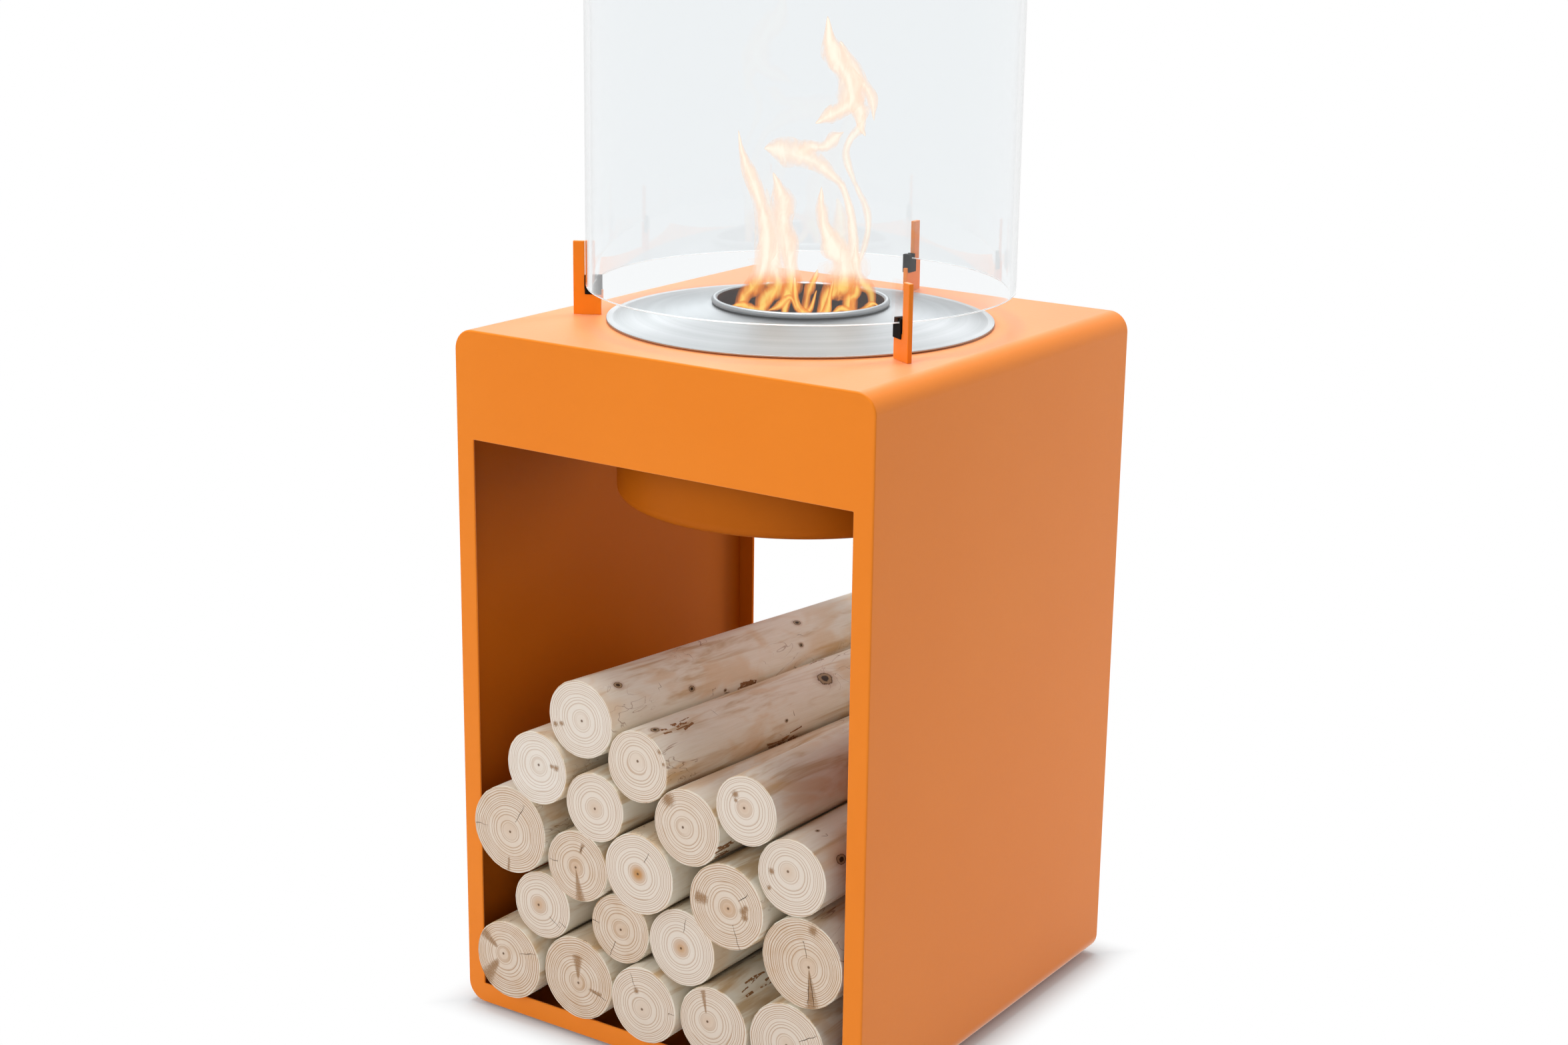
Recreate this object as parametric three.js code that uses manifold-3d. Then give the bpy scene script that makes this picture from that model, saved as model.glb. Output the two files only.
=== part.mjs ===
// A free-standing round-flame fireplace: a painted steel box that stores logs, with a burner hung in its top
// and a clear glass cylinder round the flame. Millimetres, +Z up, the front faces -Y, the floor is Z = 0.
import * as THREE from 'three';
import { mergeVertices } from 'three/addons/utils/BufferGeometryUtils.js';
import Module from 'manifold-3d';

const wasm = await Module();
wasm.setup();

// Box of folded steel sheet, open at the front and at the rear
const boxWidth = 400;
const boxDepth = 400;
const boxHeight = 588;
const boxSheet = 2;
const boxCornerRadius = 17;
const stileWidth = 17.5;
const sillHeight = 17.5;
const apronHeight = 90;
const frameSheet = 2;

// Feet screwed through the floor of the box
const footHeight = 3;
const footDiameter = 26;
const footInset = 40;
const studDiameter = 6;
const studLength = 9;
const nutAcrossFlats = 10;
const nutHeight = 5;

// Drum that hangs in the top of the box and holds the burner; its inset is from the nearer sides of the box
const drumInset = 48.5;
const drumDepth = 147;
const drumSheet = 1.5;
const drumFlangeWidth = 6;
const drumFlangeSheet = 1;
const drumEdgeRadius = 9;

// Round steel plate that covers the drum: a flat rim and a low cone that rises to the burner
const plateOverhang = 2;
const plateSheet = 1.5;
const plateRimWidth = 5;
const plateRise = 12;

// Burner: a steel can with a rolled rim, filled with ceramic wool under a perforated sheet
const canDiameter = 139;
const canDepth = 105;
const canSheet = 1;
const rimRollDiameter = 5;
const woolHeight = 38;
const gridSheet = 1;
const gridHoleDiameter = 9;
const gridRingSpacing = 21;
const gridRings = 2;
const gridHolesInFirstRing = 6;

// Glass cylinder, which stands a little way outside the plate, and what holds it
const glassStandoff = 11.5;
const glassWall = 5;
const glassHeight = 480;
const glassLift = 29;
const bracketSheet = 4;
const bracketFootLength = 23;
const bracketFootHeight = 21;
const bracketHeight = 61;
const bracketUprightWidth = 9.4;
const bracketTabLength = 10;
const bracketTabStandout = 2;
const bracketCount = 3;
const firstBracketAngle = 90;
const clipWidth = 7;
const clipInnerLip = 4.5;
const clipOuterLip = 2;
const clipGrip = 4;

// Logs in the box
const logDiameter = 66;
const logReach = 12;
const logTaperShare = 0.95;

// Room left between pieces
const restGap = 0.3;
const slideGap = 0.5;
const logGap = 0.5;
const cutOverrun = 1;

// Fineness of round faces
const roundSides = 72;
const canSides = 48;
const glassSides = 96;
const logSides = 24;
const smallSides = 16;
const holeSides = 10;
const cornerSteps = 8;
const rollSteps = 10;

// Levels and radii that several pieces share
const boxBottom = footHeight;
const boxTop = boxBottom + boxHeight;
const floorTop = boxBottom + boxSheet;
const halfWidth = boxWidth / 2;
const halfDepth = boxDepth / 2;
const drumRadius = Math.min(halfWidth, halfDepth) - drumInset;
const drumFlangeRadius = drumRadius + drumFlangeWidth;
const plateRadius = drumFlangeRadius + plateOverhang;
const plateBottom = boxTop + drumFlangeSheet;
const plateTop = plateBottom + plateSheet;
const canSeat = plateTop + plateRise;
const canRadius = canDiameter / 2;
const glassRadius = plateRadius + glassStandoff + glassWall;
const glassBottom = boxTop + glassLift;
const clipOuter = glassRadius + restGap + clipOuterLip;
const bracketUprightInner = clipOuter + restGap;
const bracketReach = bracketUprightInner + bracketUprightWidth;
const bracketFootInner = bracketReach - bracketFootLength;
const bracketTabMiddle = bracketReach - bracketFootLength / 2;
const quarterTurn = Math.PI / 2;
const wholeTurn = Math.PI * 2;

// Names and materials
const paint = { color: 0xf08a2d, roughness: 0.5, metalness: 0 };
const steel = { color: 0xd4d5d6, roughness: 0.3, metalness: 1 };
const glass = { color: 0xf2f7f6, roughness: 0.03, metalness: 0, transparent: true, opacity: 0.3 };
const rubber = { color: 0x0c0b0b, roughness: 0.8, metalness: 0 };
const zinc = { color: 0xb9bcbe, roughness: 0.4, metalness: 1 };
const wool = { color: 0xe9e4d8, roughness: 1, metalness: 0 };
const timber = { color: 0xd9c3a2, roughness: 0.8, metalness: 0 };

const fireplace = new THREE.Group();

function addPiece(name, geometry, finish) {
  const piece = new THREE.Mesh(geometry, new THREE.MeshStandardMaterial(finish));
  piece.name = name;
  fireplace.add(piece);
  return piece;
}

// Joining and cutting of closed meshes
function toSolid(geometry) {
  const bare = geometry.clone();
  bare.deleteAttribute('normal');
  bare.deleteAttribute('uv');
  const merged = mergeVertices(bare);
  const vertProperties = new Float32Array(merged.attributes.position.array);
  const triVerts = new Uint32Array(merged.index.array);
  return new wasm.Manifold(new wasm.Mesh({ numProp: 3, vertProperties, triVerts }));
}

function toGeometry(solid) {
  const mesh = solid.getMesh();
  const geometry = new THREE.BufferGeometry();
  geometry.setAttribute('position', new THREE.BufferAttribute(new Float32Array(mesh.vertProperties), 3));
  geometry.setIndex(new THREE.BufferAttribute(new Uint32Array(mesh.triVerts), 1));
  geometry.computeVertexNormals();
  return geometry;
}

function cutAway(geometry, tools) {
  let solid = toSolid(geometry);
  for (const tool of tools) {
    solid = solid.subtract(toSolid(tool));
  }
  return toGeometry(solid);
}

function joinAll(geometries) {
  let solid = toSolid(geometries[0]);
  for (const geometry of geometries.slice(1)) {
    solid = solid.add(toSolid(geometry));
  }
  return toGeometry(solid);
}

// Basic forms
function boxBetween(low, high) {
  const form = new THREE.BoxGeometry(high[0] - low[0], high[1] - low[1], high[2] - low[2]);
  form.translate((low[0] + high[0]) / 2, (low[1] + high[1]) / 2, (low[2] + high[2]) / 2);
  return form;
}

function uprightRod(radius, bottom, top, sides) {
  const rod = new THREE.CylinderGeometry(radius, radius, top - bottom, sides);
  rod.rotateX(quarterTurn);
  rod.translate(0, 0, (bottom + top) / 2);
  return rod;
}

// A closed outline of [radius, height] points, given anticlockwise, turned about the upright axis
function turned(outline, sides) {
  const points = outline.map(([radius, height]) => new THREE.Vector2(radius, height));
  if (points[0].x > 0) {
    points.push(points[0].clone());
  }
  const form = new THREE.LatheGeometry(points, sides);
  form.rotateX(quarterTurn);
  return form;
}

// Points of an arc in the [radius, height] plane, from one angle to another
function arcPoints(centre, radius, start, end, steps) {
  const points = [];
  for (let step = 0; step <= steps; step += 1) {
    const angle = start + ((end - start) * step) / steps;
    points.push([centre[0] + radius * Math.cos(angle), centre[1] + radius * Math.sin(angle)]);
  }
  return points;
}

// An outline in the X and Z plane, made solid from frontY back by its depth
function standingSlab(shape, depth, frontY) {
  const slab = new THREE.ExtrudeGeometry(shape, { depth, bevelEnabled: false, curveSegments: cornerSteps });
  slab.rotateX(quarterTurn);
  slab.translate(0, frontY + depth, 0);
  return slab;
}

function roundedOutline(outline, left, right, bottom, top, radius) {
  outline.moveTo(left + radius, bottom);
  outline.lineTo(right - radius, bottom);
  outline.absarc(right - radius, bottom + radius, radius, -quarterTurn, 0);
  outline.lineTo(right, top - radius);
  outline.absarc(right - radius, top - radius, radius, 0, quarterTurn);
  outline.lineTo(left + radius, top);
  outline.absarc(left + radius, top - radius, radius, quarterTurn, 2 * quarterTurn);
  outline.lineTo(left, bottom + radius);
  outline.absarc(left + radius, bottom + radius, radius, 2 * quarterTurn, 3 * quarterTurn);
  return outline;
}

// The same thing set at each bracket's angle round the upright axis
function atEachBracket(make) {
  const made = [];
  for (let index = 0; index < bracketCount; index += 1) {
    const degrees = firstBracketAngle + (index * 360) / bracketCount;
    made.push(make(index).rotateZ(THREE.MathUtils.degToRad(degrees)));
  }
  return made;
}

function footPlaces() {
  const x = halfWidth - footInset;
  const y = halfDepth - footInset;
  return [[-x, -y], [x, -y], [x, y], [-x, y]];
}

// Box: a wrapper folded round all four sides, closed by a frame at each end
function boxOutline() {
  return roundedOutline(new THREE.Shape(), -halfWidth, halfWidth, boxBottom, boxTop, boxCornerRadius);
}

function wrapperForm() {
  const outside = boxOutline();
  const inside = roundedOutline(
    new THREE.Path(),
    boxSheet - halfWidth,
    halfWidth - boxSheet,
    floorTop,
    boxTop - boxSheet,
    boxCornerRadius - boxSheet,
  );
  outside.holes.push(inside);
  const ring = standingSlab(outside, boxDepth - 2 * frameSheet, frameSheet - halfDepth);
  const cutBottom = boxTop - boxSheet - cutOverrun;
  const cutTop = boxTop + cutOverrun;
  const drumHole = uprightRod(drumRadius + restGap, cutBottom, cutTop, roundSides);
  const tabSlots = atEachBracket(() => {
    const halfLength = bracketTabLength / 2 + restGap;
    const half = bracketSheet / 2 + restGap;
    return boxBetween(
      [bracketTabMiddle - halfLength, -half, cutBottom],
      [bracketTabMiddle + halfLength, half, cutTop],
    );
  });
  const studHoleRadius = studDiameter / 2 + restGap;
  const studHoles = footPlaces().map(([x, y]) => {
    const hole = uprightRod(studHoleRadius, boxBottom - cutOverrun, floorTop + cutOverrun, smallSides);
    return hole.translate(x, y, 0);
  });
  return cutAway(ring, [drumHole, ...tabSlots, ...studHoles]);
}

function frameForm(frontY) {
  const outside = boxOutline();
  const left = stileWidth - halfWidth;
  const bottom = boxBottom + sillHeight;
  const opening = new THREE.Path();
  opening.moveTo(left, bottom);
  opening.lineTo(-left, bottom);
  opening.lineTo(-left, boxTop - apronHeight);
  opening.lineTo(left, boxTop - apronHeight);
  opening.closePath();
  outside.holes.push(opening);
  return standingSlab(outside, frameSheet, frontY);
}

// Feet: a moulded pad with a stud, held by a nut on the floor of the box
function footForm() {
  const pad = uprightRod(footDiameter / 2, 0, footHeight, smallSides * 2);
  const stud = uprightRod(studDiameter / 2, footHeight / 2, footHeight + boxSheet + studLength, smallSides);
  return joinAll([pad, stud]);
}

function nutForm() {
  const hexRadius = nutAcrossFlats / 2 / Math.cos(Math.PI / 6);
  const nut = uprightRod(hexRadius, floorTop, floorTop + nutHeight, 6);
  const bore = uprightRod(
    studDiameter / 2 + restGap,
    floorTop - cutOverrun,
    floorTop + nutHeight + cutOverrun,
    smallSides,
  );
  return cutAway(nut, [bore]);
}

// Drum: a spun pan with a flange that rests on the top of the box
function drumForm() {
  const bottom = boxTop - drumDepth;
  const inner = drumRadius - drumSheet;
  const innerEdge = drumEdgeRadius - drumSheet;
  const centre = [drumRadius - drumEdgeRadius, bottom + drumEdgeRadius];
  return turned(
    [
      [0, bottom],
      ...arcPoints(centre, drumEdgeRadius, -quarterTurn, 0, cornerSteps),
      [drumRadius, boxTop],
      [drumFlangeRadius, boxTop],
      [drumFlangeRadius, boxTop + drumFlangeSheet],
      [inner, boxTop + drumFlangeSheet],
      ...arcPoints(centre, innerEdge, 0, -quarterTurn, cornerSteps),
      [0, bottom + drumSheet],
    ],
    roundSides,
  );
}

function plateForm() {
  const inner = canRadius + slideGap;
  const rimInner = plateRadius - plateRimWidth;
  return turned(
    [
      [inner, plateBottom + plateRise],
      [rimInner, plateBottom],
      [plateRadius, plateBottom],
      [plateRadius, plateTop],
      [rimInner, plateTop],
      [inner, canSeat],
    ],
    roundSides,
  );
}

// Burner can: its wall turns outwards at the top into a roll that rests on the plate
function canForm() {
  const bottom = canSeat - canDepth;
  const inner = canRadius - canSheet;
  const rollRadius = rimRollDiameter / 2;
  const rollCentre = [inner + rollRadius, canSeat + restGap + rollRadius];
  const wallMeet = Math.acos((canRadius - rollCentre[0]) / rollRadius);
  return turned(
    [
      [0, bottom],
      [canRadius, bottom],
      ...arcPoints(rollCentre, rollRadius, -wallMeet, Math.PI, rollSteps),
      [inner, bottom + canSheet],
      [0, bottom + canSheet],
    ],
    canSides,
  );
}

const canFloor = canSeat - canDepth + canSheet;
const woolBottom = canFloor + restGap;
const woolTop = woolBottom + woolHeight;
const gridBottom = woolTop + restGap;
const fillRadius = canRadius - canSheet - restGap;

function gridForm() {
  const disc = uprightRod(fillRadius, gridBottom, gridBottom + gridSheet, canSides);
  const holes = [];
  for (let ring = 0; ring <= gridRings; ring += 1) {
    const count = Math.max(1, ring * gridHolesInFirstRing);
    for (let index = 0; index < count; index += 1) {
      const hole = uprightRod(
        gridHoleDiameter / 2,
        gridBottom - cutOverrun,
        gridBottom + gridSheet + cutOverrun,
        holeSides,
      );
      hole.translate(ring * gridRingSpacing, 0, 0);
      holes.push(hole.rotateZ((wholeTurn * index) / count));
    }
  }
  return cutAway(disc, holes);
}

function glassForm() {
  const inner = glassRadius - glassWall;
  const top = glassBottom + glassHeight;
  return turned(
    [[inner, glassBottom], [glassRadius, glassBottom], [glassRadius, top], [inner, top]],
    glassSides,
  );
}

// Bracket: an upright on a low foot, cut from one plate, with a tab that goes down through the top of the box
function bracketForm() {
  const outline = new THREE.Shape();
  outline.moveTo(bracketFootInner, boxTop);
  outline.lineTo(bracketTabMiddle - bracketTabLength / 2, boxTop);
  outline.lineTo(bracketTabMiddle - bracketTabLength / 2, boxTop - boxSheet - bracketTabStandout);
  outline.lineTo(bracketTabMiddle + bracketTabLength / 2, boxTop - boxSheet - bracketTabStandout);
  outline.lineTo(bracketTabMiddle + bracketTabLength / 2, boxTop);
  outline.lineTo(bracketReach, boxTop);
  outline.lineTo(bracketReach, boxTop + bracketHeight);
  outline.lineTo(bracketUprightInner, boxTop + bracketHeight);
  outline.lineTo(bracketUprightInner, boxTop + bracketFootHeight);
  outline.lineTo(bracketFootInner, boxTop + bracketFootHeight);
  outline.closePath();
  return standingSlab(outline, bracketSheet, -bracketSheet / 2);
}

// Clip: a block that straddles the bracket's foot below and holds the glass in a slot above
function clipForm() {
  const inner = glassRadius - glassWall - restGap - clipInnerLip;
  const top = glassBottom + clipGrip;
  const bottom = boxTop + bracketFootHeight - clipGrip;
  const block = boxBetween([inner, -clipWidth / 2, bottom], [clipOuter, clipWidth / 2, top]);
  const glassSlot = boxBetween(
    [glassRadius - glassWall - restGap, -clipWidth, glassBottom - restGap],
    [glassRadius + restGap, clipWidth, top + cutOverrun],
  );
  const footSlot = boxBetween(
    [inner - cutOverrun, -bracketSheet / 2 - restGap, bottom - cutOverrun],
    [clipOuter + cutOverrun, bracketSheet / 2 + restGap, boxTop + bracketFootHeight + restGap],
  );
  return cutAway(block, [glassSlot, footSlot]);
}

// Logs: the thickness of the front end and its rough place in the stack, to the right and up from the corner
// of the opening, as shares of a middling log, and how far each end stands past the frames, of the reach
const logList = [
  { name: 'log_01', girthShare: 1.05, placeShares: [0.5, 0.5], frontShare: 0.75, rearShare: 0.3 },
  { name: 'log_02', girthShare: 1.11, placeShares: [1.6, 0.6], frontShare: 0.4, rearShare: 0.7 },
  { name: 'log_03', girthShare: 1.01, placeShares: [2.7, 0.5], frontShare: 0.65, rearShare: 0.2 },
  { name: 'log_04', girthShare: 1.01, placeShares: [3.7, 0.5], frontShare: 0.3, rearShare: 0.5 },
  { name: 'log_05', girthShare: 1.09, placeShares: [4.8, 0.6], frontShare: 0.12, rearShare: 0.8 },
  { name: 'log_06', girthShare: 0.91, placeShares: [1, 1.4], frontShare: 0.2, rearShare: 0.1 },
  { name: 'log_07', girthShare: 0.91, placeShares: [2.2, 1.4], frontShare: 0, rearShare: 0.9 },
  { name: 'log_08', girthShare: 1, placeShares: [3.2, 1.4], frontShare: 0.1, rearShare: 0.4 },
  { name: 'log_09', girthShare: 1.15, placeShares: [4.9, 1.7], frontShare: 0, rearShare: 0.6 },
  { name: 'log_10', girthShare: 1.17, placeShares: [0.6, 2.3], frontShare: 0.75, rearShare: 0.15 },
  { name: 'log_11', girthShare: 0.95, placeShares: [1.6, 2.1], frontShare: 0.5, rearShare: 1 },
  { name: 'log_12', girthShare: 1.05, placeShares: [2.6, 2.3], frontShare: 0.9, rearShare: 0.35 },
  { name: 'log_13', girthShare: 1.1, placeShares: [3.9, 2.2], frontShare: 0.65, rearShare: 0.2 },
  { name: 'log_14', girthShare: 0.98, placeShares: [4.8, 2.7], frontShare: 0.2, rearShare: 0.75 },
  { name: 'log_15', girthShare: 0.9, placeShares: [2, 3], frontShare: 0.8, rearShare: 0.5 },
  { name: 'log_16', girthShare: 0.96, placeShares: [1.1, 3.3], frontShare: 1, rearShare: 0.25 },
  { name: 'log_17', girthShare: 0.98, placeShares: [3.3, 3], frontShare: 0.6, rearShare: 0.6 },
  { name: 'log_18', girthShare: 0.89, placeShares: [4.2, 3.4], frontShare: 0.5, rearShare: 0.3 },
  { name: 'log_19', girthShare: 0.92, placeShares: [2.6, 3.6], frontShare: 0.6, rearShare: 0.9 },
  { name: 'top_log', girthShare: 1, placeShares: [1.7, 4], frontShare: 0.6, rearShare: 0.4 },
];

const openingLeft = stileWidth - halfWidth;
const openingRight = halfWidth - stileWidth;
const openingBottom = boxBottom + sillHeight;

function gapBetween(place, radius, other) {
  return Math.hypot(place.x - other.x, place.z - other.z) - radius - other.radius;
}

// Where a log lies when it touches two things: the sill, a side of the opening, or logs already laid
function touchingPlace(first, second, radius) {
  if (first === 'sill') {
    const z = openingBottom + radius + logGap;
    if (second === 'left') {
      return { x: openingLeft + radius + logGap, z };
    }
    const span = second.radius + radius + logGap;
    return { x: second.x + Math.sqrt(span ** 2 - (z - second.z) ** 2), z };
  }
  if (first === 'left' || first === 'right') {
    const x = first === 'left' ? openingLeft + radius + logGap : openingRight - radius - logGap;
    const span = second.radius + radius + logGap;
    return { x, z: second.z + Math.sqrt(span ** 2 - (x - second.x) ** 2) };
  }
  const [left, right] = first.x < second.x ? [first, second] : [second, first];
  const leftSpan = left.radius + radius + logGap;
  const rightSpan = right.radius + radius + logGap;
  const apart = Math.hypot(right.x - left.x, right.z - left.z);
  const along = (apart ** 2 + leftSpan ** 2 - rightSpan ** 2) / (2 * apart);
  const rise = Math.sqrt(leftSpan ** 2 - along ** 2);
  const ex = (right.x - left.x) / apart;
  const ez = (right.z - left.z) / apart;
  return { x: left.x + ex * along - ez * rise, z: left.z + ez * along + ex * rise };
}

function isFree(place, radius, laid) {
  const tolerance = logGap / 100;
  const insideSides = place.x - radius >= openingLeft + logGap - tolerance
    && place.x + radius <= openingRight - logGap + tolerance;
  const aboveSill = place.z - radius >= openingBottom + logGap - tolerance;
  const clearOfLogs = laid.every((log) => gapBetween(place, radius, log) >= logGap - tolerance);
  return insideSides && aboveSill && clearOfLogs;
}

// A log stays put when what it rests on reaches under it from both sides
function isHeld(place, first, second) {
  if (first === 'sill') {
    return true;
  }
  if (first === 'left') {
    return second.x > place.x;
  }
  if (first === 'right') {
    return second.x < place.x;
  }
  return (first.x - place.x) * (second.x - place.x) < 0;
}

// Each log settles in the free hollow that is nearest to its place in the stack
function settle(radius, wanted, laid) {
  let best = null;
  const pairs = [['sill', 'left']];
  laid.forEach((log, index) => {
    pairs.push(['sill', log], ['left', log], ['right', log]);
    laid.slice(index + 1).forEach((other) => pairs.push([log, other]));
  });
  for (const [first, second] of pairs) {
    const place = touchingPlace(first, second, radius);
    const distance = Math.hypot(place.x - wanted.x, place.z - wanted.z);
    const fits = isHeld(place, first, second) && isFree(place, radius, laid);
    if (fits && (best === null || distance < best.distance)) {
      best = { place, distance, first, second };
    }
  }
  return best;
}

// The thinner rear ends settle in the same way, and the bottom row lies straight back
function layLogs() {
  const fronts = [];
  const rears = [];
  for (const log of logList) {
    const radius = (log.girthShare * logDiameter) / 2;
    const front = settle(
      radius,
      {
        x: openingLeft + log.placeShares[0] * logDiameter,
        z: openingBottom + log.placeShares[1] * logDiameter,
      },
      fronts,
    );
    const rearRadius = radius * logTaperShare;
    const lowered = openingBottom + (front.place.z - openingBottom) * logTaperShare;
    const rear = front.first === 'sill'
      ? { x: front.place.x, z: openingBottom + rearRadius + logGap }
      : settle(rearRadius, { x: front.place.x, z: lowered }, rears).place;
    fronts.push({ ...front.place, radius });
    rears.push({ ...rear, radius: rearRadius });
  }
  return logList.map((log, index) => ({ ...log, front: fronts[index], rear: rears[index] }));
}

// A tapered round whose two ends are flat and stand square to the depth of the box
function logForm(log) {
  const frontY = -halfDepth - log.frontShare * logReach;
  const rearY = halfDepth + log.rearShare * logReach;
  const form = new THREE.CylinderGeometry(log.rear.radius, log.front.radius, 1, logSides);
  const along = new THREE.Vector3(log.rear.x - log.front.x, rearY - frontY, log.rear.z - log.front.z);
  const lay = new THREE.Matrix4().makeBasis(new THREE.Vector3(1, 0, 0), along, new THREE.Vector3(0, 0, 1));
  lay.setPosition(
    (log.front.x + log.rear.x) / 2,
    (frontY + rearY) / 2,
    (log.front.z + log.rear.z) / 2,
  );
  return form.applyMatrix4(lay);
}

// The whole fireplace
addPiece('box_wrapper', wrapperForm(), paint);
addPiece('front_frame', frameForm(-halfDepth), paint);
addPiece('rear_frame', frameForm(halfDepth - frameSheet), paint);
addPiece('burner_drum', drumForm(), paint);

footPlaces().forEach(([x, y], index) => {
  addPiece(`foot_${index + 1}`, footForm(), rubber).position.set(x, y, 0);
  addPiece(`foot_nut_${index + 1}`, nutForm(), zinc).position.set(x, y, 0);
});

addPiece('top_plate', plateForm(), steel);
addPiece('burner_can', canForm(), steel);
addPiece('burner_wool', uprightRod(fillRadius, woolBottom, woolTop, canSides), wool);
addPiece('burner_grid', gridForm(), steel);

atEachBracket(bracketForm).forEach((form, index) => addPiece(`glass_bracket_${index + 1}`, form, paint));
atEachBracket(clipForm).forEach((form, index) => addPiece(`glass_clip_${index + 1}`, form, rubber));
addPiece('glass_cylinder', glassForm(), glass);

for (const log of layLogs()) {
  addPiece(log.name, logForm(log), timber);
}

export default fireplace;
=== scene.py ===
from math import cos, pi, radians, sin, sqrt

import bmesh
import bpy
import numpy as np
from mathutils import Matrix, Vector


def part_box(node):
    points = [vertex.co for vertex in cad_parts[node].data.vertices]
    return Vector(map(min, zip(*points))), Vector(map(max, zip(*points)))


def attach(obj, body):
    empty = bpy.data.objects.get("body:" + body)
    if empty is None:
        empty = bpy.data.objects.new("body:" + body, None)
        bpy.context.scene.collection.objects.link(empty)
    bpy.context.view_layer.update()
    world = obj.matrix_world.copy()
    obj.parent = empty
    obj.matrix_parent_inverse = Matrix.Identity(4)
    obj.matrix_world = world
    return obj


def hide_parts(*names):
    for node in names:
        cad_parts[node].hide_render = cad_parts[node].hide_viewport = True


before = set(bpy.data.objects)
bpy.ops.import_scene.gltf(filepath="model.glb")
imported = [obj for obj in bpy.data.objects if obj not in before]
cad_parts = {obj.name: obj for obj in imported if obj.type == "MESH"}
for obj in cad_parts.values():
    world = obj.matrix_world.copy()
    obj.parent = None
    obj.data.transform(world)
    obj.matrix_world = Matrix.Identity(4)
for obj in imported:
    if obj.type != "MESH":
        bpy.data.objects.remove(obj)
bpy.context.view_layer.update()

MM = 0.001

# The photograph's camera, in the part's own frame
PHOTO_WIDTH = 2352
FOCAL_PIXELS = 3728.42
CENTRE_COLUMN = 1203.03
SENSOR_WIDTH = 36
EYE = Vector((1.12032, -1.67560, 0.98008))
AZIMUTH = radians(33.6571)
ELEVATION = radians(15.588)
ROLL = radians(-0.8925)

# Sizes of the sheet-metal box, in metres
BOX_HALF = 200 * MM
BOX_BOTTOM = 3 * MM
BOX_TOP = 591 * MM
CORNER_RADIUS = 17 * MM
SHEET = 2 * MM
OPENING_HALF = 182.5 * MM
OPENING_BOTTOM = 20.5 * MM
OPENING_TOP = 501 * MM
OUTER_EDGE_RADIUS = 1.5 * MM
OPENING_EDGE_RADIUS = 0.8 * MM
OPENING_CORNER_RADIUS = 0.8 * MM
HOLDING_BAND = 0.5 * MM

# Sizes of the burner and the glass
DRUM_RADIUS = 151.5 * MM
DRUM_BOTTOM = 444 * MM
DRUM_WALL = 1.5 * MM
DRUM_EDGE_RADIUS = 9 * MM
FLANGE_RADIUS = 157.5 * MM
FLANGE_TOP = 592 * MM
PLATE_RADIUS = 159.5 * MM
PLATE_SHEET = 1.5 * MM
PLATE_RIM_INNER = 154.5 * MM
PLATE_RISE = 12 * MM
CAN_RADIUS = 69.5 * MM
CAN_WALL = 1 * MM
CAN_BOTTOM = 500.5 * MM
ROLL_RADIUS = 2.5 * MM
SEAT_GAP = 0.3 * MM
MOUTH_GAP = 0.5 * MM
GLASS_RADIUS = 176 * MM
GLASS_WALL = 5 * MM
GLASS_BOTTOM = 620 * MM
GLASS_TOP = 1100 * MM
GLASS_ARRIS = 0.7 * MM


def linear(hex_text):
    """An sRGB hex colour as linear red, green, blue and alpha."""
    shares = [int(hex_text[i:i + 2], 16) / 255 for i in (1, 3, 5)]
    return tuple(s / 12.92 if s <= 0.04045 else ((s + 0.055) / 1.055) ** 2.4 for s in shares) + (1.0,)


# Settings that many nodes share. A colour mix has its share as input 0 and its two colours as 6 and 7
COLOUR_MIX = {"data_type": "RGBA"}
EASED = {"interpolation_type": "SMOOTHSTEP"}
TIMES = {"operation": "MULTIPLY"}
TIMES_PLUS = {"operation": "MULTIPLY_ADD"}


def add_node(tree, kind, settings=None, inputs=None):
    """Adds a node. Each input is linked to a socket or to a node's first output in use, or set to a value."""
    node = tree.nodes.new(kind)
    for name, value in (settings or {}).items():
        setattr(node, name, value)
    for key, given in (inputs or {}).items():
        # A list stands for several links into one input
        for value in given if isinstance(given, list) else [given]:
            if isinstance(value, bpy.types.Node):
                value = next(output for output in value.outputs if output.enabled)
            if isinstance(value, bpy.types.NodeSocket):
                tree.links.new(value, node.inputs[key])
            else:
                node.inputs[key].default_value = value
    return node


def make_material(name, surface, *finish):
    """A material whose surface a function builds from the Object coordinates and the finish's own values."""
    material = bpy.data.materials.new(name)
    material.use_nodes = True
    tree = material.node_tree
    tree.nodes.clear()
    place = add_node(tree, "ShaderNodeTexCoord").outputs["Object"]
    add_node(tree, "ShaderNodeOutputMaterial", None, {"Surface": surface(tree, place, *finish)})
    return material


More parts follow.
